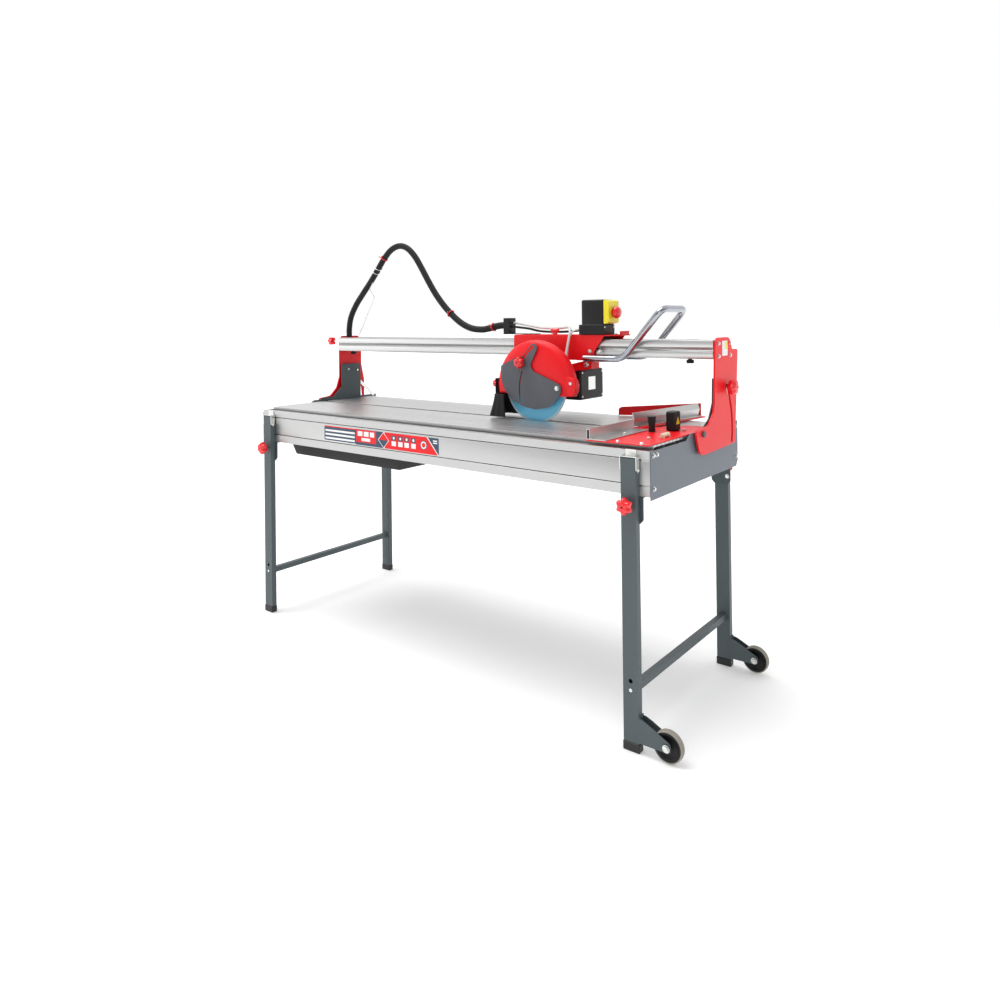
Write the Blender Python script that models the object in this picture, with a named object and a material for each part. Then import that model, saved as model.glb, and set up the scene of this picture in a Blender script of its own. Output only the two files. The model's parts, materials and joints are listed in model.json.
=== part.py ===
"""Bridge wet tile saw on folding legs, modelled piece by piece.

The cutting head runs along a bridge beam over a slotted table. The bridge tilts about the blade slot,
the legs fold under the table, and the fence turns for angled cuts.
Frame: +X along the cut toward the wheels, +Y to the back, +Z up, floor at z = 0, centre of the table at x = y = 0.
"""
import math

import bmesh
import bpy
from mathutils import Matrix, Vector

# ---------------------------------------------------------------- driving dimensions, metres
TABLE_LENGTH = 1.720
TABLE_DEPTH = 0.604
TABLE_TOP = 0.800
SLOT_WIDTH = 0.024
SHEET = 0.003
GAP = 0.0004

RAIL_TOP = 0.790
RAIL_BOTTOM = 0.670
RAIL_DEPTH = 0.024

LEG_WIDTH = 0.045
LEG_THICK = 0.020
LEG_X = 0.8035
LEG_TOP = 0.771
LEG_PIVOT_Z = 0.648
CROSSBAR_Z = 0.160
WHEEL_RADIUS = 0.041
WHEEL_X = 0.906
WHEEL_Z = 0.0435

BEAM_FRONT = 0.094
BEAM_BACK = 0.219
BEAM_BOTTOM = 1.0136
BEAM_TOP = 1.0716
ARM_INNER = 0.868
ARM_THICK = 0.006
CLAMP_RADIUS = 0.2225
CLAMP_ANGLE = 34.0
TILT_RANGE = 45.0

BLADE_X = 0.277
BLADE_Z = 0.915
BLADE_RADIUS = 0.125
HEAD_PIVOT = (0.420, 0.985)
GUARD_RADIUS = 0.156
GUARD_HALF = 0.024

HALF_LENGTH = TABLE_LENGTH / 2
HALF_DEPTH = TABLE_DEPTH / 2
PIVOT_Z = TABLE_TOP
LEG_Y = HALF_DEPTH + GAP + LEG_THICK / 2
CONDUIT_RADIUS = 0.013

# ---------------------------------------------------------------- colours: base colour, metallic, roughness
FINISHES = {
    "red_paint": ((0.72, 0.012, 0.016), 0.0, 0.35),
    "slate_paint": ((0.075, 0.098, 0.105), 0.0, 0.45),
    "panel_paint": ((0.16, 0.19, 0.22), 0.0, 0.45),
    "aluminium": ((0.72, 0.73, 0.72), 1.0, 0.35),
    "black_plastic": ((0.015, 0.015, 0.016), 0.0, 0.5),
    "grey_plastic": ((0.10, 0.105, 0.115), 0.0, 0.45),
    "rubber": ((0.03, 0.03, 0.03), 0.0, 0.75),
    "yellow_plastic": ((0.85, 0.68, 0.02), 0.0, 0.4),
    "zinc": ((0.68, 0.69, 0.66), 1.0, 0.3),
    "chrome": ((0.85, 0.86, 0.87), 1.0, 0.08),
    "blade_blue": ((0.12, 0.42, 0.80), 0.3, 0.35),
}

PLANES = {
    "XY": Matrix(((1, 0, 0), (0, 1, 0), (0, 0, 1))),
    "YZ": Matrix(((0, 0, 1), (1, 0, 0), (0, 1, 0))),
    "XZ": Matrix(((1, 0, 0), (0, 0, -1), (0, 1, 0))),
}


# ---------------------------------------------------------------- helpers
def clear_scene():
    for obj in list(bpy.data.objects):
        bpy.data.objects.remove(obj, do_unlink=True)


def new_collection(name, hidden=False):
    collection = bpy.data.collections.new(name)
    bpy.context.scene.collection.children.link(collection)
    collection.hide_render = hidden
    return collection


def finish_material(name, finish):
    colour, metallic, roughness = FINISHES[finish]
    material = bpy.data.materials.new(name)
    material.use_nodes = True
    shader = material.node_tree.nodes["Principled BSDF"]
    shader.inputs["Base Color"].default_value = (*colour, 1.0)
    shader.inputs["Metallic"].default_value = metallic
    shader.inputs["Roughness"].default_value = roughness
    return material


def from_bmesh(bm, name):
    """A helper solid from a bmesh. It stays in the cutter collection until part() makes it a piece."""
    bmesh.ops.recalc_face_normals(bm, faces=bm.faces)
    mesh = bpy.data.meshes.new(name)
    bm.to_mesh(mesh)
    bm.free()
    obj = bpy.data.objects.new(name, mesh)
    obj.hide_render = True
    obj.display_type = "WIRE"
    CUTTERS.objects.link(obj)
    return obj


def box(low, high, bevel=0.0):
    bm = bmesh.new()
    bmesh.ops.create_cube(bm, size=1.0)
    size = [b - a for a, b in zip(low, high)]
    middle = [(a + b) / 2 for a, b in zip(low, high)]
    bmesh.ops.scale(bm, vec=size, verts=bm.verts)
    bmesh.ops.translate(bm, vec=middle, verts=bm.verts)
    if bevel:
        bmesh.ops.bevel(bm, geom=bm.edges[:], offset=bevel, segments=1, affect="EDGES")
    return from_bmesh(bm, "box")


def rod(axis, centre, radius, start, end, sides=24, end_radius=None):
    """A cylinder or cone along axis X, Y or Z. centre is its place on the other two axes, in order."""
    bm = bmesh.new()
    bmesh.ops.create_cone(bm, cap_ends=True, segments=sides, radius1=radius,
                          radius2=radius if end_radius is None else end_radius, depth=end - start)
    turn = {"X": Matrix.Rotation(math.pi / 2, 4, "Y"), "Y": Matrix.Rotation(-math.pi / 2, 4, "X"),
            "Z": Matrix.Identity(4)}[axis]
    middle = list(centre)
    middle.insert("XYZ".index(axis), (start + end) / 2)
    bm.transform(Matrix.Translation(middle) @ turn)
    return from_bmesh(bm, "rod")


def plate(plane, outline, low, high, holes=()):
    """A flat outline in a plane, filled and extruded from low to high along the plane's normal."""
    curve = bpy.data.curves.new("outline", "CURVE")
    curve.dimensions = "2D"
    curve.fill_mode = "BOTH"
    curve.extrude = (high - low) / 2
    for loop in (outline, *holes):
        spline = curve.splines.new("POLY")
        spline.points.add(len(loop) - 1)
        for point, (u, v) in zip(spline.points, loop):
            point.co = (u, v, 0, 1)
        spline.use_cyclic_u = True
    turn = PLANES[plane].to_4x4()
    normal = {"XY": Vector((0, 0, 1)), "YZ": Vector((1, 0, 0)), "XZ": Vector((0, 1, 0))}[plane]
    return curve_solid(curve, Matrix.Translation(normal * (low + high) / 2) @ turn)


def curve_solid(curve, placement):
    """The closed mesh of a curve, with its caps welded."""
    guide = bpy.data.objects.new("guide", curve)
    bpy.context.scene.collection.objects.link(guide)
    bpy.context.view_layer.update()
    evaluated = guide.evaluated_get(bpy.context.evaluated_depsgraph_get())
    bm = bmesh.new()
    bm.from_mesh(bpy.data.meshes.new_from_object(evaluated))
    bpy.data.objects.remove(guide, do_unlink=True)
    bmesh.ops.remove_doubles(bm, verts=bm.verts, dist=1e-5)
    bm.transform(placement)
    return from_bmesh(bm, "solid")


def tube(points, radius, resolution=2):
    """A bar or hose of round section through the points."""
    curve = bpy.data.curves.new("route", "CURVE")
    curve.dimensions = "3D"
    curve.bevel_depth = radius
    curve.bevel_resolution = resolution
    curve.use_fill_caps = True
    spline = curve.splines.new("POLY")
    spline.points.add(len(points) - 1)
    for point, place in zip(spline.points, points):
        point.co = (*place, 1)
    return curve_solid(curve, Matrix.Identity(4))


def smooth_route(points, count):
    """Points along a Catmull-Rom curve through the given ones."""
    places = [Vector(p) for p in points]
    ends = [places[0] * 2 - places[1], *places, places[-1] * 2 - places[-2]]
    route = []
    for i in range(count + 1):
        t = i / count * (len(places) - 1)
        k = min(int(t), len(places) - 2)
        t -= k
        a, b, c, d = ends[k:k + 4]
        route.append(0.5 * (2 * b + (c - a) * t + (2 * a - 5 * b + 4 * c - d) * t ** 2
                            + (3 * b - a - 3 * c + d) * t ** 3))
    return route


def bent(points, radius, steps=4):
    """A polyline with each inner corner replaced by a round bend."""
    places = [Vector(p) for p in points]
    route = [places[0]]
    for before, corner, after in zip(places, places[1:], places[2:]):
        a = corner + (before - corner).normalized() * radius
        b = corner + (after - corner).normalized() * radius
        for i in range(steps + 1):
            t = i / steps
            route.append(a * (1 - t) ** 2 + corner * 2 * t * (1 - t) + b * t ** 2)
    route.append(places[-1])
    return route


def arc(centre, radius, start, end, steps):
    """Points along an arc, angles in degrees from the first axis toward the second."""
    angles = [math.radians(start + (end - start) * i / steps) for i in range(steps + 1)]
    return [(centre[0] + radius * math.cos(a), centre[1] + radius * math.sin(a)) for a in angles]


def circle(centre, radius, sides=24):
    return arc(centre, radius, 0, 360 * (sides - 1) / sides, sides - 1)


def arc_slot(centre, radius, half_width, start, end, steps=12):
    """A slot of constant width along an arc, with round ends."""
    first = arc(centre, radius, start, start, 1)[0]
    last = arc(centre, radius, end, end, 1)[0]
    return (arc(centre, radius + half_width, start, end, steps)
            + arc(last, half_width, end, end + 180, 4)[1:-1]
            + arc(centre, radius - half_width, end, start, steps)
            + arc(first, half_width, start + 180, start + 360, 4)[1:-1])


def rounded(points, radius, steps=3):
    """A closed outline with its corners rounded."""
    flat = []
    count = len(points)
    for i in range(count):
        before, corner, after = (Vector(points[(i + k) % count]) for k in (-1, 0, 1))
        reach = min(radius, (before - corner).length * 0.45, (after - corner).length * 0.45)
        a = corner + (before - corner).normalized() * reach
        b = corner + (after - corner).normalized() * reach
        for j in range(steps + 1):
            t = j / steps
            flat.append(tuple(a * (1 - t) ** 2 + corner * 2 * t * (1 - t) + b * t ** 2))
    return flat


def rectangle(u0, v0, u1, v1):
    return [(u0, v0), (u1, v0), (u1, v1), (u0, v1)]


def combine(obj, tools, operation):
    for tool in tools:
        modifier = obj.modifiers.new(operation.lower(), "BOOLEAN")
        modifier.operation = operation
        modifier.object = tool
        modifier.solver = "EXACT"
    return obj


def join(obj, *others):
    return combine(obj, others, "UNION")


def cut(obj, *others):
    return combine(obj, others, "DIFFERENCE")


def part(obj, name, finish, pivot=None):
    """Makes a solid a piece of the saw, with its origin on its joint's axis where it moves."""
    obj.name = obj.data.name = name
    if pivot is not None:
        obj.data.transform(Matrix.Translation(-Vector(pivot)))
        obj.location = pivot
    obj.data.materials.clear()
    obj.data.materials.append(finish_material(name + "_finish", finish))
    obj.hide_render = False
    obj.display_type = "SOLID"
    CUTTERS.objects.unlink(obj)
    SAW.objects.link(obj)
    return obj


def star_outline(centre, radius, lobes=6, depth=0.12, steps=24):
    points = []
    for i in range(steps):
        a = 2 * math.pi * i / steps
        r = radius * (1 - depth + depth * math.cos(lobes * a))
        points.append((centre[0] + r * math.cos(a), centre[1] + r * math.sin(a)))
    return points


# ---------------------------------------------------------------- table frame
def make_rails():
    back = RAIL_DEPTH
    profile = [(0, RAIL_BOTTOM), (back, RAIL_BOTTOM), (back, RAIL_BOTTOM + 0.004), (0.004, RAIL_BOTTOM + 0.004),
               (0.004, RAIL_TOP - 0.004), (back, RAIL_TOP - 0.004), (back, RAIL_TOP), (0, RAIL_TOP),
               (0, 0.7675), (0.0015, 0.7665), (0.0015, 0.7645), (0.0006, 0.7635),
               (0.0006, 0.7005), (0.0015, 0.6995), (0.0015, 0.6975), (0, 0.6965)]
    reach = HALF_LENGTH - SHEET - GAP
    for name, side in (("front_rail", -1), ("rear_rail", 1)):
        outline = [(side * (HALF_DEPTH - depth), z) for depth, z in profile]
        part(plate("YZ", outline, -reach, reach), name, "aluminium")


def make_end_panels():
    low = RAIL_BOTTOM - 0.0085
    high = TABLE_TOP + 0.007
    notch = arc((0, PIVOT_Z), 0.0085, 0, -180, 8)
    outline = [(-HALF_DEPTH, low), (0.288, low), (HALF_DEPTH, low + 0.018), (HALF_DEPTH, high),
               (0.0085, high), *notch, (-0.0085, high), (-0.052, high), (-0.082, RAIL_TOP),
               (-HALF_DEPTH + 0.008, RAIL_TOP), (-HALF_DEPTH, RAIL_TOP - 0.008)]
    for name, side in (("end_panel_left", -1), ("end_panel_right", 1)):
        inner, outer = sorted((side * (HALF_LENGTH - SHEET), side * HALF_LENGTH))
        fold = sorted((side * (HALF_LENGTH - 0.020), side * (HALF_LENGTH - 0.001)))
        flange = box((fold[0], -0.270, low), (fold[1], 0.270, low + SHEET))
        part(join(plate("YZ", outline, inner, outer), flange), name, "panel_paint")


def make_slabs():
    """Two ribbed plates with the blade slot between them."""
    deck = TABLE_TOP - 0.006
    foot = TABLE_TOP - 0.028
    reach = HALF_LENGTH - 0.012
    for name, start, end in (("table_slab_front", -0.262, -SLOT_WIDTH / 2),
                             ("table_slab_rear", SLOT_WIDTH / 2, 0.262)):
        ribs = 5
        pitch = (end - start - 0.004) / (ribs - 1)
        under = []
        for i in range(ribs):
            left = start + i * pitch
            under += [(left, deck), (left, foot), (left + 0.004, foot), (left + 0.004, deck)]
        outline = under[1:-1] + [(end, TABLE_TOP)]
        grooves = 6
        for i in reversed(range(grooves)):
            middle = start + (end - start) * (i + 0.75) / grooves
            outline += [(middle + 0.001, TABLE_TOP), (middle, TABLE_TOP - 0.001), (middle - 0.001, TABLE_TOP)]
        outline.append((start, TABLE_TOP))
        part(plate("YZ", outline, -reach, reach), name, "aluminium")


def make_bearers():
    """Bars across the frame that carry the slabs."""
    top = TABLE_TOP - 0.028 - GAP
    for name, x in (("cross_bearer_left", -0.760), ("cross_bearer_right", 0.760)):
        outline = rectangle(x - 0.020, top - 0.032, x + 0.020, top)
        hollow = rectangle(x - 0.0175, top - 0.0295, x + 0.0175, top - 0.0025)
        reach = HALF_DEPTH - RAIL_DEPTH + 0.016
        part(plate("XZ", outline, -reach, reach, [hollow]), name, "slate_paint")


def tapered_tray(low, high, wall, draft):
    """A block narrower at the bottom, grown outward by wall for the outside."""
    bm = bmesh.new()
    bmesh.ops.create_cube(bm, size=1.0)
    size = [b - a for a, b in zip(low, high)]
    middle = [(a + b) / 2 for a, b in zip(low, high)]
    bmesh.ops.scale(bm, vec=(size[0] + 2 * wall, size[1] + 2 * wall, size[2]), verts=bm.verts)
    for vert in bm.verts:
        if vert.co.z < 0:
            vert.co.x -= math.copysign(draft, vert.co.x)
            vert.co.y -= math.copysign(draft, vert.co.y)
    bmesh.ops.translate(bm, vec=middle, verts=bm.verts)
    return from_bmesh(bm, "tray")


def make_tank():
    """A shallow tray under the whole table with a deeper sump at the left for the pump."""
    wall = 0.004
    tray = tapered_tray((-0.800, -0.262, 0.690), (0.800, 0.262, 0.728), wall, 0.004)
    sump = tapered_tray((-0.776, -0.236, 0.612), (-0.150, 0.236, 0.692), wall, 0.022)
    inner = tapered_tray((-0.800, -0.262, 0.690 + wall), (0.800, 0.262, 0.736), 0, 0.004)
    well = tapered_tray((-0.776, -0.236, 0.612 + wall), (-0.150, 0.236, 0.700), 0, 0.022)
    drain = rod("Z", (-0.300, 0.150), 0.0125, 0.600, 0.630)
    part(cut(join(tray, sump), inner, well, drain), "water_tank", "black_plastic")
    plug = join(rod("Z", (-0.300, 0.150), 0.012, 0.6060, 0.624), rod("Z", (-0.300, 0.150), 0.020, 0.602, 0.6115, 12))
    part(plug, "drain_plug", "black_plastic", (-0.300, 0.150, 0.612))
    body = box((-0.580, -0.060, 0.6165), (-0.480, 0.040, 0.676), 0.006)
    spout = rod("Z", (-0.530, -0.010), 0.009, 0.670, 0.700, 16)
    part(join(body, spout), "water_pump", "black_plastic")


def make_quadrants():
    """Upright brackets that carry the bridge's pivot pins and its clamp studs."""
    clamp = arc((0, PIVOT_Z), CLAMP_RADIUS, CLAMP_ANGLE, CLAMP_ANGLE, 1)[0]
    outline = [(-0.026, 0.765), (0.205, 0.765), (0.205, 0.954), (0.097, 0.954), (0.097, 0.856),
               (0.050, 0.814), (-0.014, 0.814), (-0.026, 0.802)]
    slim = [(-0.020, 0.765), (0.205, 0.765), (0.205, 0.954), (0.118, 0.954), (0.114, 0.880), (0.085, 0.835),
            (0.045, 0.8125), (-0.010, 0.808), (-0.020, 0.796)]
    for name, side in (("quadrant_left", -1), ("quadrant_right", 1)):
        near, far = sorted((side * 0.8524, side * 0.8564))
        edge = outline if side < 0 else slim
        sheet = plate("YZ", edge, near, far, [circle(clamp, 0.0055, 16)])
        pin = sorted((side * 0.8540, side * (ARM_INNER + ARM_THICK + 0.003)))
        head = sorted((side * (ARM_INNER + ARM_THICK + GAP), side * (ARM_INNER + ARM_THICK + 0.006)))
        part(join(sheet, rod("X", (0, PIVOT_Z), 0.006, *pin, 16), rod("X", (0, PIVOT_Z), 0.010, *head, 6)),
             name, "slate_paint")
    brace = plate("YZ", [(0.2054, 0.862), (0.2054, 0.878), (0.286, 0.812), (0.286, 0.8004), (0.276, 0.8004)],
                  -0.8555, -0.8525)
    part(brace, "brace_bar", "zinc")


# ---------------------------------------------------------------- folding legs
LEGS = [("front_left", -1, -1), ("front_right", 1, -1), ("rear_left", -1, 1), ("rear_right", 1, 1)]


def hollow_leg(x_side, y_side):
    """A rectangular tube with its foot cap, a stud hole at the pivot and a drain hole near the foot."""
    x, y = x_side * LEG_X, y_side * LEG_Y
    half_w, half_t = LEG_WIDTH / 2, LEG_THICK / 2
    outer = rectangle(x - half_w, y - half_t, x + half_w, y + half_t)
    hollow = rectangle(x - half_w + 0.002, y - half_t + 0.002, x + half_w - 0.002, y + half_t - 0.002)
    leg = plate("XY", outer, 0.020, LEG_TOP, [hollow])
    cap = box((x - half_w - 0.002, y - half_t - 0.002, 0), (x + half_w + 0.002, y + half_t + 0.002, 0.024), 0.002)
    return leg, [cap]


def make_leg_frames():
    """Each end's two legs and their crossbar are one welded frame, with a wheel fork on each right leg."""
    for name, side in (("leg_frame_left", -1), ("leg_frame_right", 1)):
        x = side * LEG_X
        body, extras = hollow_leg(side, -1)
        leg, more = hollow_leg(side, 1)
        bar = box((x - 0.0101, -LEG_Y + 0.0091, CROSSBAR_Z - 0.010), (x + 0.0099, LEG_Y - 0.0091, CROSSBAR_Z + 0.010))
        pieces = [leg, *extras, *more, bar]
        if side > 0:
            for y in (-LEG_Y, LEG_Y):
                pieces += wheel_fork(y)
        holes = []
        for y in (-LEG_Y, LEG_Y):
            holes.append(rod("Y", (x, LEG_PIVOT_Z), 0.0055, y - 0.02, y + 0.02, 16))
            outward = math.copysign(1, y)
            ends = sorted((y, y + outward * 0.02))
            holes.append(rod("Y", (x, 0.184), 0.006, *ends, 16))
        part(cut(join(body, *pieces), *holes), name, "slate_paint", (x, 0, LEG_PIVOT_Z))


def wheel_fork(y):
    """A bracket on the leg's outer face with two arms and the axle."""
    face = LEG_X + LEG_WIDTH / 2
    base = box((face - 0.001, y - 0.0135, 0.028), (face + 0.003, y + 0.0135, 0.098))
    outline = rounded([(face, 0.030), (face, 0.096), (face + 0.020, 0.090), (WHEEL_X + 0.012, WHEEL_Z + 0.012),
                       (WHEEL_X + 0.012, WHEEL_Z - 0.010), (WHEEL_X - 0.010, WHEEL_Z - 0.013)], 0.008, 2)
    arms = [plate("XZ", outline, y + low, y + low + 0.0025) for low in (-0.0135, 0.0110)]
    axle = rod("Y", (WHEEL_X, WHEEL_Z), 0.0045, y - 0.0165, y + 0.0165, 16)
    return [base, *arms, axle]


def make_wheels():
    for name, y in (("wheel_front", -LEG_Y), ("wheel_rear", LEG_Y)):
        tyre = rod("Y", (WHEEL_X, WHEEL_Z), WHEEL_RADIUS, y - 0.0095, y + 0.0095, 40)
        bore = rod("Y", (WHEEL_X, WHEEL_Z), 0.0050, y - 0.02, y + 0.02, 16)
        part(cut(tyre, bore), name, "rubber", (WHEEL_X, y, WHEEL_Z))


def make_leg_mounts():
    """For each leg: the hinge bracket under the rail, the clamp knob and the clip that holds it open."""
    for label, x_side, y_side in LEGS:
        x, y = x_side * LEG_X, y_side * LEG_Y
        make_leg_bracket(label, x, y_side)
        make_leg_knob(label, x, y_side)
        make_leg_clip(label, x, y, y_side)


def make_leg_bracket(label, x, y_side):
    face = HALF_DEPTH - GAP
    outline = rounded([(x - 0.032, RAIL_BOTTOM - GAP), (x - 0.032, 0.606), (x - 0.020, 0.594),
                       (x + 0.020, 0.594), (x + 0.032, 0.606), (x + 0.032, RAIL_BOTTOM - GAP)], 0.004, 2)
    ends = sorted((y_side * face, y_side * (face - 0.004)))
    sheet = plate("XZ", outline, *ends, [circle((x, LEG_PIVOT_Z), 0.0055, 16)])
    ends = sorted((y_side * (face - 0.001), y_side * (face - 0.022)))
    shelf = box((x - 0.032, ends[0], RAIL_BOTTOM - GAP - 0.004), (x + 0.032, ends[1], RAIL_BOTTOM - GAP))
    part(join(sheet, shelf), "leg_bracket_" + label, "slate_paint")


def make_leg_knob(label, x, y_side):
    start = y_side * (HALF_DEPTH + GAP * 2 + LEG_THICK)
    ends = sorted((y_side * (HALF_DEPTH - 0.008), y_side * 0.335))
    stud = rod("Y", (x, LEG_PIVOT_Z), 0.0050, *ends, 16)
    collar = rod("Y", (x, LEG_PIVOT_Z), 0.011, *sorted((start, y_side * 0.338)), 16)
    head = plate("XZ", star_outline((x, LEG_PIVOT_Z), 0.024), *sorted((y_side * 0.336, y_side * 0.360)))
    part(join(head, collar, stud), "leg_knob_" + label, "red_paint", (x, y_side * 0.335, LEG_PIVOT_Z))


def make_leg_clip(label, x, y, y_side):
    """A saddle over the leg's top, hooked on the rail, turning on a pin through the leg."""
    hinge_z = 0.740
    half = LEG_WIDTH / 2 + GAP
    outside = abs(y) + LEG_THICK / 2 + 0.001
    low = LEG_TOP + 0.0025
    roof_ends = sorted((y_side * outside, y_side * (HALF_DEPTH + GAP)))
    roof = box((x - half - 0.002, roof_ends[0], low), (x + half + 0.002, roof_ends[1], low + 0.002))
    tongue_ends = sorted((y_side * (HALF_DEPTH + 0.0008), y_side * (HALF_DEPTH + 0.0030)))
    tongue = box((x - 0.016, tongue_ends[0], low), (x + 0.016, tongue_ends[1], RAIL_TOP + 0.002))
    near, far = y_side * (HALF_DEPTH + 0.002), y_side * outside
    outline = [(near, low + 0.001), (far, low + 0.001), (far - y_side * 0.001, hinge_z), (y, hinge_z - 0.009),
               (near + y_side * 0.002, hinge_z)]
    ears = [plate("YZ", outline, *sorted((x + s * half, x + s * (half + 0.002)))) for s in (-1, 1)]
    part(join(roof, tongue, *ears), "leg_clip_" + label, "zinc", (x, y, hinge_z))


# ---------------------------------------------------------------- fence
def make_fence():
    low = TABLE_TOP + GAP
    deck = low + 0.003
    outline = rounded([(0.655, -0.296), (0.848, -0.290), (0.848, 0.130), (0.770, 0.130), (0.655, -0.040)], 0.006)
    part(plate("XY", outline, low, deck), "fence_plate", "red_paint")
    base = deck + GAP
    wall = [(0.659, base), (0.720, base), (0.720, base + 0.003), (0.669, base + 0.003), (0.669, base + 0.030),
            (0.659, base + 0.030)]
    hollow = rectangle(0.661, base + 0.0025, 0.667, base + 0.0275)
    part(plate("XZ", wall, -0.294, -0.038, [hollow]), "fence_front", "aluminium")
    make_mitre(base)
    body = box((0.766, -0.022, base), (0.796, 0.018, base + 0.058), 0.003)
    lens = rod("X", (-0.002, base + 0.020), 0.006, 0.758, 0.768, 12)
    part(join(body, lens), "laser_unit", "black_plastic")
    lever_x, lever_y = 0.740, -0.060
    grip = rod("Z", (lever_x, lever_y), 0.0085, base + 0.010, base + 0.046, 12, 0.013)
    nut = rod("Z", (lever_x, lever_y), 0.010, base + GAP, base + 0.011, 6)
    part(join(grip, nut), "clamp_lever", "black_plastic", (lever_x, lever_y, base))


def make_mitre(base):
    """The rear half of the fence: a red arm with a raised tail, and the profile on it, turning on the plate."""
    pivot = Vector((0.672, -0.012, 0))
    turn = Matrix.Translation(pivot) @ Matrix.Rotation(math.radians(-9), 4, "Z") @ Matrix.Translation(-pivot)
    sole = plate("XY", rounded([(0.6555, -0.026), (0.688, -0.024), (0.692, 0.020), (0.682, 0.346), (0.6555, 0.350)],
                               0.004), base, base + 0.003)
    sole.data.transform(turn)
    left, right = Vector((0.455, 0.246, 0)), Vector((0.719, 0.342, 0))
    along = (right - left).normalized()
    length = (right - left).length
    tail = plate("XZ", [(0, base + 0.001), (length, base + 0.001), (length, base + 0.046), (0.010, base + 0.027),
                        (0, base + 0.020)], 0, 0.003)
    foot = plate("XY", rectangle(0.002, -0.016, length - 0.001, 0.0025), base + 0.0004, base + 0.0026)
    swing = Matrix.Translation(left) @ Matrix.Rotation(math.atan2(along.y, along.x), 4, "Z")
    for solid in (tail, foot):
        solid.data.transform(swing)
    part(join(sole, foot, tail), "mitre_arm", "red_paint", (pivot.x, pivot.y, base))
    top = base + 0.003 + GAP
    profile = [(0.6540, top), (0.676, top), (0.676, top + 0.003), (0.6575, top + 0.003), (0.6640, top + 0.024),
               (0.6575, top + 0.042), (0.6540, top + 0.042), (0.6600, top + 0.024)]
    rail = plate("XZ", profile, -0.024, 0.336)
    rail.data.transform(turn)
    part(rail, "mitre_fence", "aluminium", (pivot.x, pivot.y, top))


# ---------------------------------------------------------------- tilting bridge
def make_arms():
    clamp_slot = arc_slot((0, PIVOT_Z), CLAMP_RADIUS, 0.0060, CLAMP_ANGLE - TILT_RANGE - 1, CLAMP_ANGLE + 1)
    outline = rounded([(0.098, 1.060), (0.112, 1.079), (0.205, 1.079), (0.224, 1.062), (0.228, 1.040),
                       (0.278, 1.040), (0.246, 0.744), (0.005, 0.738), (-0.022, 0.744), (-0.036, 0.775),
                       (-0.050, 0.812), (-0.010, 0.816), (0.040, 0.820), (0.078, 0.850), (0.088, 0.880)], 0.012)
    slim = rounded([(0.098, 1.060), (0.112, 1.079), (0.205, 1.079), (0.224, 1.062), (0.224, 0.950), (0.240, 0.880),
                    (0.240, 0.744), (-0.014, 0.744), (-0.018, 0.790), (-0.014, 0.812), (0.045, 0.818),
                    (0.080, 0.850), (0.098, 0.900)], 0.005)
    for name, side in (("arm_left", -1), ("arm_right", 1)):
        ends = sorted((side * ARM_INNER, side * (ARM_INNER + ARM_THICK)))
        edge = slim if side < 0 else outline
        part(plate("YZ", edge, *ends, [circle((0, PIVOT_Z), 0.0066, 16), clamp_slot]), name, "red_paint",
             (0, 0, PIVOT_Z))


def make_beam():
    """The extruded guide: grooved in front and behind, with a track along its top for the rollers."""
    front, back, low, high = BEAM_FRONT, BEAM_BACK, BEAM_BOTTOM, BEAM_TOP
    track = high - 0.010
    outline = [(front, low), (back, low), (back, 1.036), (back - 0.003, 1.039), (back - 0.003, 1.046),
               (back, 1.049), (back, high), (0.193, high), (0.193, track), (0.120, track), (0.120, high),
               (front, high), (front, 1.049), (front + 0.003, 1.046), (front + 0.003, 1.039), (front, 1.036)]
    hollow = rectangle(front + 0.007, low + 0.004, back - 0.007, track - 0.004)
    reach = ARM_INNER - GAP
    part(plate("YZ", outline, -reach, reach, [hollow]), "beam", "aluminium", (0, 0, PIVOT_Z))


def make_bridge_knobs():
    clamp = arc((0, PIVOT_Z), CLAMP_RADIUS, CLAMP_ANGLE, CLAMP_ANGLE, 1)[0]
    outside = ARM_INNER + ARM_THICK
    for name, side in (("tilt_knob_left", -1), ("tilt_knob_right", 1)):
        stud = rod("X", clamp, 0.0050, *sorted((side * 0.848, side * 0.885)), 16)
        collar = rod("X", clamp, 0.012, *sorted((side * (outside + GAP), side * 0.886)), 16)
        head = plate("YZ", star_outline(clamp, 0.028), *sorted((side * 0.884, side * 0.908)))
        part(join(head, collar, stud), name, "red_paint", (side * outside, *clamp))
    stem = rod("X", (0.106, 1.056), 0.005, -0.920, -outside - GAP, 16)
    head = plate("YZ", star_outline((0.106, 1.056), 0.019), -0.947, -0.918)
    part(join(head, stem), "end_knob", "red_paint", (-outside, 0.106, 1.056))


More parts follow.
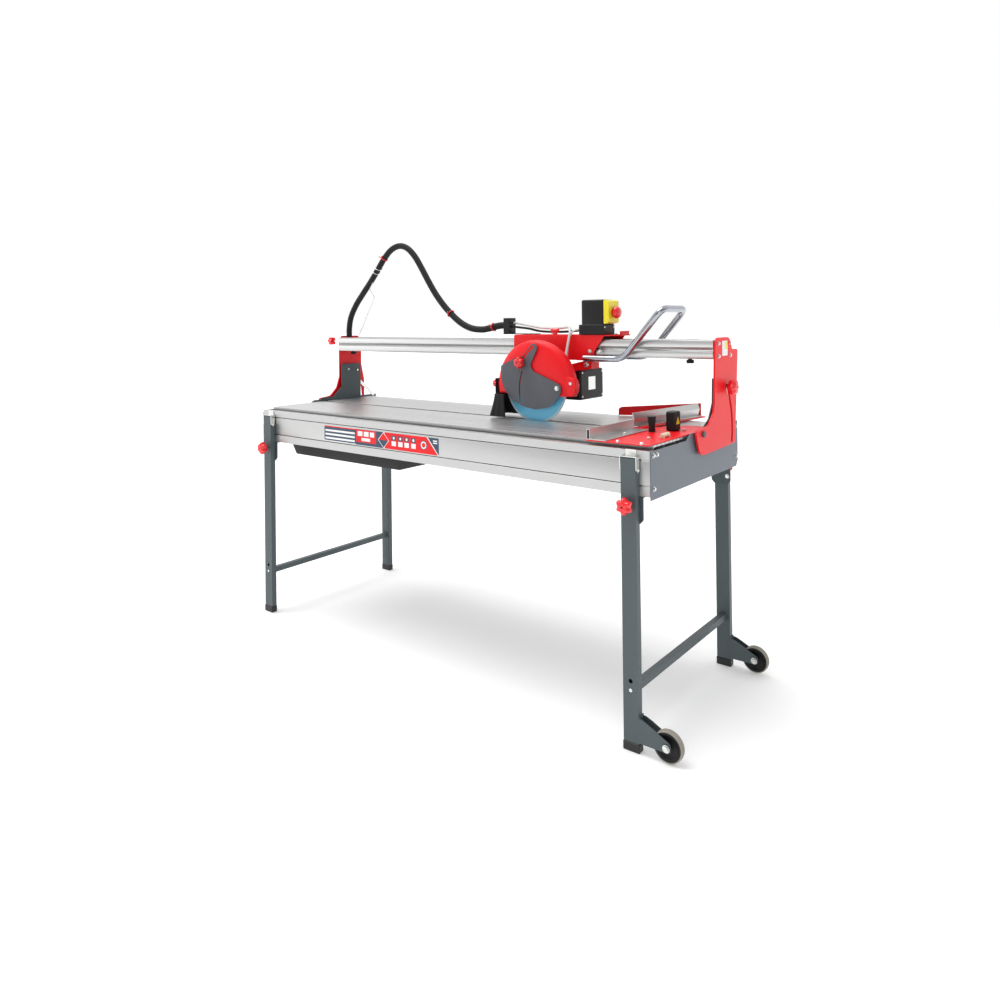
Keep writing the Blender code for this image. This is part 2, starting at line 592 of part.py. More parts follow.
# ---------------------------------------------------------------- carriage
def make_carriage():
    """A folded shell round the beam with a tongue toward the handle, roller lugs and the head's hinge block."""
    high = 1.0870
    skirt_top = high - 0.0010
    top = plate("XY", rounded([(0.122, 0.0850), (0.500, 0.0850), (0.538, 0.110), (0.538, 0.190),
                               (0.500, 0.2280), (0.122, 0.2280)], 0.006, 2), high - 0.004, high)
    lip = box((0.5345, 0.120, high - 0.002), (0.5375, 0.180, high + 0.012))
    front = plate("XZ", rounded([(0.120, skirt_top), (0.120, 1.036), (0.150, 1.001), (0.455, 1.001),
                                 (0.455, 1.030), (0.497, skirt_top)], 0.004, 2), 0.0840, 0.0880)
    rear = plate("XZ", [(0.120, skirt_top), (0.120, 1.012), (0.380, 1.012), (0.380, 1.001), (0.455, 1.001),
                        (0.455, 1.030), (0.497, skirt_top)], 0.2250, 0.2290)
    floor = box((0.386, 0.0855, 1.0000), (0.454, 0.2275, 1.0050))
    block = box((0.404, 0.1040, 0.9715), (0.436, 0.1500, 1.0020))
    pieces = [lip, front, rear, floor, block]
    for x in ROLLERS_X:
        for y in (0.1215, 0.1885):
            pieces.append(box((x - 0.006, y, 1.0650), (x + 0.006, y + 0.003, high - 0.002)))
    bores = [rod("Y", (x, ROLLER_Z), 0.0045, 0.115, 0.197, 12) for x in ROLLERS_X]
    bores.append(rod("Y", HEAD_PIVOT, 0.0066, 0.095, 0.16, 16))
    bores.append(rod("Z", (0.285, 0.105), 0.0055, 1.075, 1.095, 16))
    part(cut(join(top, *pieces), *bores), "carriage", "red_paint")


ROLLERS_X = (0.165, 0.450)
ROLLER_RADIUS = 0.010
ROLLER_Z = BEAM_TOP - 0.010 + GAP + ROLLER_RADIUS


def make_rollers():
    for name, x in zip(("roller_left", "roller_right"), ROLLERS_X):
        drum = rod("Y", (x, ROLLER_Z), ROLLER_RADIUS, 0.1255, 0.1875, 24)
        axle = rod("Y", (x, ROLLER_Z), 0.0040, 0.1220, 0.1910, 12)
        part(join(drum, axle), name, "grey_plastic", (x, 0.1565, ROLLER_Z))


def make_carriage_fittings():
    stud = rod("Z", (0.285, 0.105), 0.0050, BEAM_TOP + GAP, 1.095, 16)
    collar = rod("Z", (0.285, 0.105), 0.009, 1.0875, 1.096, 16)
    wing = box((0.267, 0.100, 1.095), (0.303, 0.110, 1.110), 0.004)
    part(join(collar, stud, wing), "carriage_lock_knob", "red_paint", (0.285, 0.105, 1.0875))
    strip = box((0.0360, 0.128, 1.0874), (0.180, 0.168, 1.0904))
    block = box((0.0360, 0.1280, 1.0890), (0.0660, 0.1680, 1.1480), 0.002)
    part(join(strip, block), "cable_holder", "black_plastic")
    side = [(0.425, 1.0085), (0.572, 1.0085), (0.712, 1.1700)]
    route = bent([*((x, 0.0720, z) for x, z in side), *((x, 0.2415, z) for x, z in reversed(side))], 0.026)
    part(tube(route, 0.0110), "handle", "chrome")


def make_switch():
    low = 1.0874
    body = box((0.411, 0.0780, low + 0.020), (0.4965, 0.1500, 1.2050), 0.004)
    skirt = box((0.4015, 0.0760, low), (0.4980, 0.1520, 1.1215), 0.002)
    hollow = box((0.415, 0.0820, low - 0.01), (0.4925, 0.1460, 1.2010))
    part(cut(join(body, skirt), hollow), "switch_box", "black_plastic")
    outline = rounded([(0.4969, 1.1225), (0.5165, 1.128), (0.5165, 1.2005), (0.4969, 1.2045)], 0.004, 2)
    lid = plate("XZ", outline, 0.0800, 0.1480)
    well = rod("X", (0.114, 1.161), 0.0130, 0.5085, 0.530)
    part(cut(lid, well), "switch_cover", "yellow_plastic", (0.4975, 0.114, 1.2060))
    stem = rod("X", (0.114, 1.161), 0.0120, 0.5130, 0.5255)
    cap = rod("X", (0.114, 1.161), 0.0200, 0.5225, 0.5400, 32, 0.0165)
    part(join(cap, stem), "stop_button", "red_paint", (0.5225, 0.114, 1.161))


# ---------------------------------------------------------------- cutting head
def make_head_plate():
    x, z = BLADE_X, BLADE_Z
    outline = rounded([(0.205, 0.880), (0.240, 0.862), (0.336, 0.862), (0.336, 0.958), (0.440, 0.972),
                       (0.440, 0.997), (0.405, 0.997), (0.340, 0.982), (0.225, 0.960), (0.205, 0.945)], 0.006, 2)
    sheet = plate("XZ", outline, 0.0930, 0.0990)
    boss = rod("Y", (x, z), 0.030, GUARD_HALF + GAP, 0.0940, 32)
    bore = rod("Y", (x, z), 0.0125, 0.02, 0.11)
    hinge_pin = rod("Y", HEAD_PIVOT, 0.0060, 0.0960, 0.1490, 16)
    part(join(cut(join(sheet, boss), bore), hinge_pin), "head_plate", "red_paint", (HEAD_PIVOT[0], 0, HEAD_PIVOT[1]))


def make_motor():
    x, z = BLADE_X, BLADE_Z
    front = 0.0994
    housing = box((0.204, front, 0.862), (0.392, 0.252, 0.967), 0.005)
    cap = rod("Y", (x, z), 0.046, 0.251, 0.262, 32)
    well = rod("Y", (x, z), 0.036, front - 0.01, 0.245, 32)
    part(cut(join(housing, cap), well), "motor_housing", "black_plastic", (HEAD_PIVOT[0], 0, HEAD_PIVOT[1]))
    spindle = rod("Y", (x, z), 0.0120, -0.0195, 0.238)
    rotor = rod("Y", (x, z), 0.034, 0.115, 0.232, 32)
    inner_flange = rod("Y", (x, z), 0.026, 0.0018, 0.012)
    outer_flange = rod("Y", (x, z), 0.026, -0.010, -0.0018)
    nut = rod("Y", (x, z), 0.018, -0.0190, -0.0095, 6)
    part(join(spindle, rotor, inner_flange, outer_flange, nut), "motor_shaft", "zinc", (x, 0, z))
    disc = plate("XZ", circle((x, z), BLADE_RADIUS, 72), -0.0013, 0.0013, [circle((x, z), 0.0127)])
    part(disc, "blade", "blade_blue", (x, 0, z))


def sector(radius, low_z):
    """The guard's outline: a round top on the blade's centre and straight sides down to low_z."""
    drop = math.degrees(math.asin((BLADE_Z - low_z) / radius))
    return arc((BLADE_X, BLADE_Z), radius, -drop, 180 + drop, 40)


def make_blade_guard():
    low_z = 0.886
    shell = plate("XZ", sector(GUARD_RADIUS, low_z), -GUARD_HALF, GUARD_HALF)
    hollow = plate("XZ", sector(GUARD_RADIUS - 0.003, low_z - 0.010), -GUARD_HALF + 0.003, GUARD_HALF - 0.003)
    bore = rod("Y", (BLADE_X, BLADE_Z), 0.0135, 0, 0.05)
    lug = plate("XZ", rounded([(0.420, 0.890), (0.442, 0.890), (0.452, 0.925), (0.446, 0.945), (0.418, 0.950)], 0.006),
                -GUARD_HALF, -GUARD_HALF + 0.024)
    part(cut(join(shell, lug), hollow, bore), "blade_guard", "red_paint", (HEAD_PIVOT[0], 0, HEAD_PIVOT[1]))


def make_lower_guard():
    """A flat shield in front of the blade, turning on a bolt at its right and held by a knob in its arm's slot."""
    outline = rounded([(0.148, 0.982), (0.150, 0.930), (0.165, 0.898), (0.200, 0.862), (0.240, 0.846),
                       (0.292, 0.838), (0.346, 0.847), (0.376, 0.868), (0.398, 0.900), (0.396, 0.922),
                       (0.384, 0.930), (0.286, 0.966), (0.274, 0.986), (0.304, 1.044), (0.298, 1.060),
                       (0.282, 1.060), (0.240, 1.014), (0.205, 1.007)], 0.007, 2)
    hinge = LOWER_GUARD_HINGE
    slot = arc_slot(hinge, 0.167, 0.0046, 125, 151.5, 10)
    slit = arc_slot((0.400, 0.900), 0.172, 0.0022, 158, 194, 10)
    front = -GUARD_HALF - 0.0065
    part(plate("XZ", outline, front, front + 0.003, [slot, slit]), "lower_guard", "grey_plastic",
         (hinge[0], front, hinge[1]))
    stud = arc(hinge, 0.167, 151, 151, 1)[0]
    stem = rod("Y", stud, 0.0040, front - 0.012, -GUARD_HALF - GAP, 16)
    head = plate("XZ", star_outline(stud, 0.021), front - 0.025, front - 0.002)
    part(join(head, stem), "guard_knob", "red_paint", (stud[0], front, stud[1]))


LOWER_GUARD_HINGE = (0.382, 0.913)


def make_splash_skirt():
    """A flared rubber channel behind the blade, open toward it, hung on a tab at the guard's left end."""
    low, high = 0.8080, 0.8845
    channel = rounded([(0.182, -0.052), (0.182, -0.048), (0.118, -0.048), (0.118, 0.048), (0.182, 0.048),
                       (0.182, 0.052), (0.112, 0.052), (0.112, -0.052)], 0.002, 1)
    skirt = plate("XY", channel, low, high)
    for vert in skirt.data.vertices:
        if vert.co.z > (low + high) / 2:
            vert.co.x = 0.134 + (vert.co.x - 0.112) * 0.60
            vert.co.y *= 0.98
    tab = plate("XZ", [(0.1130, 0.936), (0.1160, 0.936), (0.1160, 0.888), (0.1240, 0.880), (0.1335, 0.880),
                       (0.1335, 0.874), (0.1220, 0.874), (0.1130, 0.885)], -0.018, 0.018)
    slot = box((0.10, -0.0045, 0.896), (0.12, 0.0045, 0.930))
    part(cut(join(skirt, tab), slot), "splash_skirt", "rubber")


# ---------------------------------------------------------------- hose and cable conduit
CONDUIT_ROUTE = [
    (-0.850, 0.140, 1.0730), (-0.850, 0.140, 1.110), (-0.838, 0.140, 1.160), (-0.805, 0.141, 1.213),
    (-0.756, 0.142, 1.266), (-0.703, 0.143, 1.320), (-0.660, 0.144, 1.369), (-0.622, 0.145, 1.412),
    (-0.580, 0.146, 1.446), (-0.532, 0.147, 1.459), (-0.485, 0.147, 1.446), (-0.443, 0.148, 1.410),
    (-0.405, 0.148, 1.360), (-0.368, 0.148, 1.306), (-0.328, 0.148, 1.252), (-0.285, 0.148, 1.205),
    (-0.238, 0.148, 1.164), (-0.188, 0.148, 1.130), (-0.136, 0.148, 1.110), (-0.082, 0.148, 1.105),
    (-0.042, 0.148, 1.1105), (-0.004, 0.148, 1.1185), (0.0345, 0.148, 1.1215),
]


def make_conduit():
    part(tube(smooth_route(CONDUIT_ROUTE, 44), CONDUIT_RADIUS), "conduit", "rubber")


# ---------------------------------------------------------------- build
clear_scene()
SAW = new_collection("wet_tile_saw")
CUTTERS = new_collection("cutters", hidden=True)
make_rails()
make_end_panels()
make_slabs()
make_bearers()
make_tank()
make_quadrants()
make_leg_frames()
make_wheels()
make_leg_mounts()
make_fence()
make_arms()
make_beam()
make_bridge_knobs()
make_carriage()
make_rollers()
make_carriage_fittings()
make_switch()
make_head_plate()
make_motor()
make_blade_guard()
make_lower_guard()
make_splash_skirt()
make_conduit()
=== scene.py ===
# %% [markdown]
# # A bridge wet tile saw
# The saw is a long table of aluminium rails on folding steel legs. A red bridge stands over it, and the
# cutting head runs along the bridge's beam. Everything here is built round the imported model, in metres:
# +X runs along the cut toward the wheels, +Y to the back and +Z up, with the floor at zero.

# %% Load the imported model
import json
import math

import bmesh
import bpy
import numpy as np
from mathutils import Matrix, Vector

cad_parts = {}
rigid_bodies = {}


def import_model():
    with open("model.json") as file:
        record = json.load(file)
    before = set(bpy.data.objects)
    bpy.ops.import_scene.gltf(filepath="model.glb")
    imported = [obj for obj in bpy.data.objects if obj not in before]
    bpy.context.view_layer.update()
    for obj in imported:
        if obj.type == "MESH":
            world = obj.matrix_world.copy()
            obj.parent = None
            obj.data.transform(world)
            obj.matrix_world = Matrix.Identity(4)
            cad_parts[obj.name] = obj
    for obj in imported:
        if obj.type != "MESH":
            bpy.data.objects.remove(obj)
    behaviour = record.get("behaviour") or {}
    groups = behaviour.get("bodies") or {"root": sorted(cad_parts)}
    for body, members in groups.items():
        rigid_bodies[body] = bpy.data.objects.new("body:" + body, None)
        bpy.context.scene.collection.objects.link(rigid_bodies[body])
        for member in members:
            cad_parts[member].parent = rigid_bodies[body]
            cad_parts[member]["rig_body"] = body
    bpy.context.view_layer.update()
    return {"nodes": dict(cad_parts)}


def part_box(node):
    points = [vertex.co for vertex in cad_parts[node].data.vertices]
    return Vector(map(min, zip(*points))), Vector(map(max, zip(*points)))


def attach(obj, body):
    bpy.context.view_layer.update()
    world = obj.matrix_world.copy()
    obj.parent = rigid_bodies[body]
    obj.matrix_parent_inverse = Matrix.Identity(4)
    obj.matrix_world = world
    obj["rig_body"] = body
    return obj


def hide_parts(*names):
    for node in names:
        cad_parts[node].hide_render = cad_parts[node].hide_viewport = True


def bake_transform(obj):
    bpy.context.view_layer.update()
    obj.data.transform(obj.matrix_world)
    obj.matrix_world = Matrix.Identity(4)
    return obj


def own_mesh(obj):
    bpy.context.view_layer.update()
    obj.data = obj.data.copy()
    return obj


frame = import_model()

# %% [markdown]
# ## The camera
# The saw is seen from in front and to the right, a little above the table, with upright lines that stay
# upright. A view camera does that: it looks level, and the lens is shifted down to take in the legs.

# %% Camera
EYE = (1.7844, -2.0957, 1.1362)
TURN, NOD, LEAN = math.radians(38.406), math.radians(-0.375), math.radians(-0.655)


def aim(turn, nod, lean):
    """The camera's three axes. It looks along turn and nod, and leans about that line."""
    ahead = Vector((-math.sin(turn) * math.cos(nod), math.cos(turn) * math.cos(nod), -math.sin(nod)))
    level = Vector((math.cos(turn), math.sin(turn), 0))
    up = level.cross(ahead)
    right = level * math.cos(lean) + up * math.sin(lean)
    return Matrix((right, up * math.cos(lean) - level * math.sin(lean), -ahead)).transposed()


lens = bpy.data.cameras.new("view_camera")
lens.lens, lens.sensor_width, lens.shift_y = 27.23, 36.0, -0.1837
lens.clip_start, lens.clip_end = 0.05, 100
camera = bpy.data.objects.new("view_camera", lens)
bpy.context.scene.collection.objects.link(camera)
camera.matrix_world = Matrix.Translation(EYE) @ aim(TURN, NOD, LEAN).to_4x4()
bpy.context.scene.camera = camera
print("camera at", EYE)

# %% [markdown]
# ## A short way to write materials
# A material is arithmetic on surface positions. Wrapping a socket in a small class lets that arithmetic be
# written as Python, and each operation adds the Math node that does it.


# %% Sockets as numbers
class Wire:
    """One output socket. Arithmetic on it adds Math nodes to its tree."""

    def __init__(self, tree, socket):
        self.tree, self.socket = tree, socket

    def _math(self, operation, first, second=None):
        node = self.tree.nodes.new("ShaderNodeMath")
        node.operation = operation
        for slot, value in zip(node.inputs, (first, second)):
            connect(self.tree, slot, value)
        return Wire(self.tree, node.outputs[0])

    def __add__(self, other):
        return self._math("ADD", self, other)

    def __radd__(self, other):
        return self._math("ADD", other, self)

    def __sub__(self, other):
        return self._math("SUBTRACT", self, other)

    def __rsub__(self, other):
        return self._math("SUBTRACT", other, self)

    def __mul__(self, other):
        return self._math("MULTIPLY", self, other)

    def __rmul__(self, other):
        return self._math("MULTIPLY", other, self)

    def __gt__(self, other):
        return self._math("GREATER_THAN", self, other)

    def __lt__(self, other):
        return self._math("LESS_THAN", self, other)

    def __pow__(self, other):
        return self._math("POWER", self, other)

    def arches(self):
        """The size of the sine of the wire: a row of arches, one for each pi."""
        return self._math("ABSOLUTE", self._math("SINE", self))


def connect(tree, slot, value):
    """Gives a socket a link if the value is a wire, and otherwise a plain value."""
    if isinstance(value, Wire):
        tree.links.new(value.socket, slot)
    elif value is not None:
        if hasattr(slot.default_value, "__len__") and len(slot.default_value) == 4 and len(value) == 3:
            value = (*value, 1.0)
        slot.default_value = value


class Finish:
    """A material, with the node calls that its recipe needs."""

    def __init__(self, name):
        self.material = bpy.data.materials.new(name)
        self.material.use_nodes = True
        self.tree = self.material.node_tree
        self.shader = self.tree.nodes["Principled BSDF"]

    def node(self, kind, settings=None, inputs=None, out=0):
        """Any node: its settings first, then values or wires for its sockets. Returns one output."""
        made = self.tree.nodes.new("ShaderNode" + kind)
        for key, value in (settings or {}).items():
            setattr(made, key, value)
        for key, value in (inputs or {}).items():
            connect(self.tree, made.inputs[key], value)
        return Wire(self.tree, made.outputs[out])

    def place(self, stretch=(1, 1, 1)):
        """The piece's own coordinates in metres, stretched along the axes."""
        here = self.node("TexCoord", out="Object")
        return self.node("Mapping", {"vector_type": "POINT"}, {"Vector": here, "Scale": stretch})

    def noise(self, scale, detail=2.0, stretch=(1, 1, 1)):
        return self.node("TexNoise", None, {"Vector": self.place(stretch), "Scale": scale, "Detail": detail})

    def cells(self, scale, out="Distance"):
        return self.node("TexVoronoi", None, {"Vector": self.place(), "Scale": scale}, out)

    def axes(self):
        """X, Y and Z of the piece's own coordinates as three wires."""
        split = self.tree.nodes.new("ShaderNodeSeparateXYZ")
        connect(self.tree, split.inputs[0], self.place())
        return [Wire(self.tree, end) for end in split.outputs]

    def blend(self, mask, first, second):
        """first where the mask is 0 and second where it is 1."""
        made = self.tree.nodes.new("ShaderNodeMix")
        made.data_type = "RGBA"
        for key, value in ((0, mask), (6, first), (7, second)):
            connect(self.tree, made.inputs[key], value)
        return Wire(self.tree, made.outputs[2])

    def bump(self, height, depth, strength=1.0):
        """Tilts the shading as if the surface rose by height times depth metres."""
        normal = self.node("Bump", None, {"Height": height, "Distance": depth, "Strength": strength})
        connect(self.tree, self.shader.inputs["Normal"], normal)

    def set(self, **sockets):
        for key, value in sockets.items():
            connect(self.tree, self.shader.inputs[key.replace("_", " ")], value)
        return self


def shade(colour, factor):
    return tuple(min(1.0, c * factor) for c in colour)


# %% [markdown]
# ## Paint, metal and plastic
# Powder coat has a faint orange peel, extruded aluminium has fine lines along its length, moulded plastic has
# a grain, and zinc plate is cloudy. Each is one recipe with its colour and its grain as the only choices.

# %% Finishes
FINISHES = {}


def powder_coat(name, colour, roughness, coat):
    f = Finish(name)
    peel = f.noise(900, 1.0)
    cloud = f.noise(6, 3.0)
    f.set(Base_Color=f.blend(cloud, shade(colour, 0.93), shade(colour, 1.06)), Roughness=roughness + 0.10 * peel,
          Coat_Weight=coat, Coat_Roughness=0.12, Specular_IOR_Level=0.25)
    f.bump(peel, 0.00025)
    FINISHES[name] = f.material


def extrusion(name, colour, roughness, stretch=(1, 1, 1)):
    """Drawn metal: noise squeezed across the draw makes long streaks."""
    f = Finish(name)
    streak = f.noise(500, 2.0, stretch)
    cloud = f.noise(9, 2.0)
    f.set(Base_Color=f.blend(streak, shade(colour, 0.88), colour), Metallic=1.0,
          Roughness=roughness + 0.14 * streak + 0.06 * cloud)
    f.bump(streak, 0.00012)
    FINISHES[name] = f.material


def moulding(name, colour, roughness, grain=1400, depth=0.0001, coat=0.0):
    f = Finish(name)
    pebble = f.noise(grain, 2.0)
    cloud = f.noise(12, 3.0)
    f.set(Base_Color=f.blend(cloud, shade(colour, 0.85), shade(colour, 1.2)), Roughness=roughness + 0.15 * pebble,
          Coat_Weight=coat, Coat_Roughness=0.05, Specular_IOR_Level=0.3)
    f.bump(pebble, depth)
    FINISHES[name] = f.material


def plated(name, colour, roughness, cell):
    """Plated steel: crystals of slightly different brightness."""
    f = Finish(name)
    crystal = f.cells(cell, "Color")
    tone = f.node("RGBToBW", None, {"Color": crystal})
    f.set(Base_Color=f.blend(tone, shade(colour, 0.85), colour), Metallic=1.0, Roughness=roughness + 0.12 * tone)
    f.bump(f.noise(700, 1.0), 0.00005)
    FINISHES[name] = f.material


RED = (0.86, 0.008, 0.014)
SLATE = (0.068, 0.090, 0.098)
PANEL = (0.155, 0.180, 0.210)
BRIGHT = (0.60, 0.605, 0.60)

powder_coat("red_paint", RED, 0.34, 0.08)
powder_coat("slate_paint", SLATE, 0.40, 0.15)
powder_coat("panel_paint", PANEL, 0.42, 0.15)
extrusion("aluminium", BRIGHT, 0.30, (0.01, 1, 1))
extrusion("fence_aluminium", BRIGHT, 0.26, (1, 0.01, 1))
moulding("black_plastic", (0.008, 0.008, 0.009), 0.36)
moulding("grey_plastic", (0.105, 0.110, 0.125), 0.42)
moulding("red_plastic", (0.80, 0.010, 0.016), 0.16, 900, 0.00003, 0.8)
moulding("yellow_plastic", (0.86, 0.72, 0.02), 0.25, 900, 0.00005, 0.4)
moulding("rubber", (0.010, 0.010, 0.011), 0.50, 1000, 0.00015)
moulding("tyre", (0.30, 0.28, 0.24), 0.6, 800, 0.0002)
moulding("white_vinyl", (0.86, 0.86, 0.86), 0.3, 500, 0.00002)
moulding("red_vinyl", (0.80, 0.010, 0.016), 0.3, 500, 0.00002)
moulding("navy_vinyl", (0.045, 0.075, 0.120), 0.3, 500, 0.00002)
moulding("cream_plastic", (0.75, 0.72, 0.50), 0.3, 900, 0.00003)
moulding("clear_hose", (0.62, 0.64, 0.62), 0.15, 300, 0.00005, 0.6)
plated("zinc", (0.80, 0.81, 0.78), 0.18, 900)
plated("chrome", (0.42, 0.44, 0.48), 0.05, 300)


def ribbed(name, axis, period, low, depth):
    """Drawn metal with shallow ribs: the shading rises and falls along one axis with the given period, and the colour
    carries painted shade in the grooves and painted highlight on the crests.
    """
    f = Finish(name)
    rib_height_and_painted_shading = ((f.axes()[axis] - low) * (math.pi / period)).arches() ** 0.5
    streak = f.noise(500, 2.0, (0.01, 1, 1))
    # Base colour: painted shade in the rib grooves, painted highlight on the rib crests.
    f.set(Base_Color=f.blend(rib_height_and_painted_shading, shade(BRIGHT, 0.55), shade(BRIGHT, 1.12)), Metallic=1.0,
          Roughness=0.30 + 0.12 * streak)
    f.bump(rib_height_and_painted_shading, depth)
    FINISHES[name] = f.material


ALONG_Y, ALONG_Z = 1, 2
# The beam and the table slabs get painted shade in their grooves and painted highlight on their crests.
BEAM_LOBE, BEAM_FOOT = 0.0297, 1.0130
ribbed("beam_aluminium", ALONG_Z, BEAM_LOBE, BEAM_FOOT, 0.0050)
SLAB_RIB = 0.0240
ribbed("slab_aluminium", ALONG_Y, SLAB_RIB, 0.0, 0.0010)
print("finishes", sorted(FINISHES))

# %% [markdown]
# The diamond blade is a steel disc lacquered blue, with a bare segment round its rim. The finish reads the
# distance from the blade's centre, so the ring turns with the disc.

# %% Blade finish
BLADE_LOW, BLADE_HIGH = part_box("blade")
BLADE_X = (BLADE_LOW.x + BLADE_HIGH.x) / 2
BLADE_Z = (BLADE_LOW.z + BLADE_HIGH.z) / 2
BLADE_R = (BLADE_HIGH.x - BLADE_LOW.x) / 2


def blade_finish():
    f = Finish("blade_lacquer")
    x, _, z = f.axes()
    r = ((x - BLADE_X) * (x - BLADE_X) + (z - BLADE_Z) * (z - BLADE_Z)) ** 0.5
    rim = r > BLADE_R - 0.007
    rings = f.node("TexNoise", {"noise_dimensions": "1D"}, {"W": r, "Scale": 900.0, "Detail": 2.0})
    sky = f.blend(rings, (0.15, 0.62, 0.98), (0.22, 0.72, 1.0))
    f.set(Base_Color=f.blend(rim, sky, (0.55, 0.72, 0.82)), Metallic=0.0, Roughness=0.24 + 0.25 * rim)
    f.bump(rings, 0.00006)
    FINISHES["blade_steel"] = f.material


blade_finish()

# %% [markdown]
# ## Surfaces from numbers
# Most new pieces are one of three surfaces: a profile turned round an axis, a ring carried along a path, or a
# flat outline given a thickness. All three are grids of points worked out as whole arrays.


# %% From a grid of points to a mesh
def grid_faces(rows, columns, wrap_rows=False, wrap_columns=True):
    """Quads between neighbours of a grid, closing each direction on itself where asked."""
    i = np.arange(rows if wrap_rows else rows - 1)[:, None]
    j = np.arange(columns if wrap_columns else columns - 1)[None, :]
    i2, j2 = (i + 1) % rows, (j + 1) % columns
    return np.stack([i * columns + j, i * columns + j2, i2 * columns + j2, i2 * columns + j], -1).reshape(-1, 4)


def make_piece(name, parts, finish, body, sharp=35):
    """One object from several (points, faces) parts, welded, faces outward, smooth up to an angle."""
    bm = bmesh.new()
    for points, faces in parts:
        verts = [bm.verts.new(p) for p in np.asarray(points, float).tolist()]
        for face in faces:
            corners = list(dict.fromkeys(int(k) for k in face))
            if len(corners) > 2:
                bm.faces.new([verts[k] for k in corners])
    bmesh.ops.remove_doubles(bm, verts=bm.verts, dist=1e-6)
    bmesh.ops.recalc_face_normals(bm, faces=bm.faces)
    mesh = bpy.data.meshes.new(name)
    bm.to_mesh(mesh)
    bm.free()
    mesh.shade_smooth()
    mesh.set_sharp_from_angle(angle=math.radians(sharp))
    mesh.materials.append(FINISHES[finish])
    piece = bpy.data.objects.new(name, mesh)
    bpy.context.scene.collection.objects.link(piece)
    if body:
        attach(piece, body)
    return piece


AXES = {"X": (1, 2, 0), "Y": (2, 0, 1), "Z": (0, 1, 2)}


def turned(profile, axis, centre, sides=32, lobes=0, depth=0.0, start=0.0):
    """Profile rows are (radius, height). The radius turns round the axis, and swells in lobes if asked."""
    profile = np.array(profile, float)
    angle = start + np.linspace(0, 2 * np.pi, sides, endpoint=False)
    swell = 1 - depth + depth * np.cos(lobes * angle) if lobes else np.ones(sides)
    u = profile[:, :1] * swell * np.cos(angle)
    v = profile[:, :1] * swell * np.sin(angle)
    points = np.empty((len(profile), sides, 3))
    a, b, c = AXES[axis]
    points[..., a], points[..., b], points[..., c] = u, v, profile[:, 1:]
    return (points + np.array(centre)).reshape(-1, 3), grid_faces(len(profile), sides)


def ring_frames(path):
    """Unit direction, side and up at each point of a path, turned as little as possible from point to point."""
    path = np.asarray(path, float)
    ahead = np.gradient(path, axis=0)
    ahead /= np.linalg.norm(ahead, axis=1)[:, None]
    side = np.cross(ahead[0], (0, 0, 1) if abs(ahead[0][2]) < 0.9 else (0, 1, 0))
    sides = []
    for direction in ahead:
        side = side - direction * (side @ direction)
        side /= np.linalg.norm(side)
        sides.append(side)
    sides = np.array(sides)
    return ahead, sides, np.cross(ahead, sides)


def hose(path, radius, sides=16, capped=True):
    """A ring of the given radius, one number or one per point, carried along the path."""
    path = np.asarray(path, float)
    _, side, up = ring_frames(path)
    radius = np.broadcast_to(radius, len(path))[:, None, None]
    angle = np.linspace(0, 2 * np.pi, sides, endpoint=False)[None, :, None]
    rings = path[:, None] + radius * (side[:, None] * np.cos(angle) + up[:, None] * np.sin(angle))
    faces = [list(f) for f in grid_faces(len(path), sides)]
    if capped:
        last = (len(path) - 1) * sides
        faces += [list(range(sides)), list(range(last, last + sides))]
    return rings.reshape(-1, 3), faces


def slab(outline, axis, low, high):
    """A flat outline pushed along an axis from low to high. The outline is on the other two axes, in order."""
    outline = np.array(outline, float)
    n = len(outline)
    others = [i for i in range(3) if i != "XYZ".index(axis)]
    points = np.empty((2, n, 3))
    points[:, :, others] = outline
    points[0, :, "XYZ".index(axis)], points[1, :, "XYZ".index(axis)] = low, high
    faces = [list(f) for f in grid_faces(2, n)] + [list(range(n)), list(range(n, 2 * n))]
    return points.reshape(-1, 3), faces


def smooth_path(points, count):
    """A Catmull-Rom curve through the points, sampled evenly in its parameter."""
    points = np.array(points, float)
    ends = np.vstack([2 * points[0] - points[1], points, 2 * points[-1] - points[-2]])
    t = np.linspace(0, len(points) - 1, count)
    k = np.minimum(t.astype(int), len(points) - 2)
    t = (t - k)[:, None]
    a, b, c, d = (ends[k + i] for i in range(4))
    return 0.5 * (2 * b + (c - a) * t + (2 * a - 5 * b + 4 * c - d) * t**2 + (3 * b - a - 3 * c + d) * t**3)


def rounded_path(points, radius, steps=8):
    """A polyline with each corner replaced by a parabola that starts radius away from it."""
    places = [Vector(p) for p in points]
    route = [places[0]]
    for before, corner, after in zip(places, places[1:], places[2:]):
        a = corner + (before - corner).normalized() * radius
        b = corner + (after - corner).normalized() * radius
        route += [a * (1 - t) ** 2 + corner * 2 * t * (1 - t) + b * t**2 for t in np.linspace(0, 1, steps + 1)]
    route.append(places[-1])
    return [tuple(p) for p in route]


def length_of(path):
    return float(np.linalg.norm(np.diff(np.asarray(path, float), axis=0), axis=1).sum())


# %% [markdown]
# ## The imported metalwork
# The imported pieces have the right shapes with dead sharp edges. Folded sheet and mouldings never have those,
# so each is copied, its flat faces are joined, and a small bevel lets every edge catch the light.


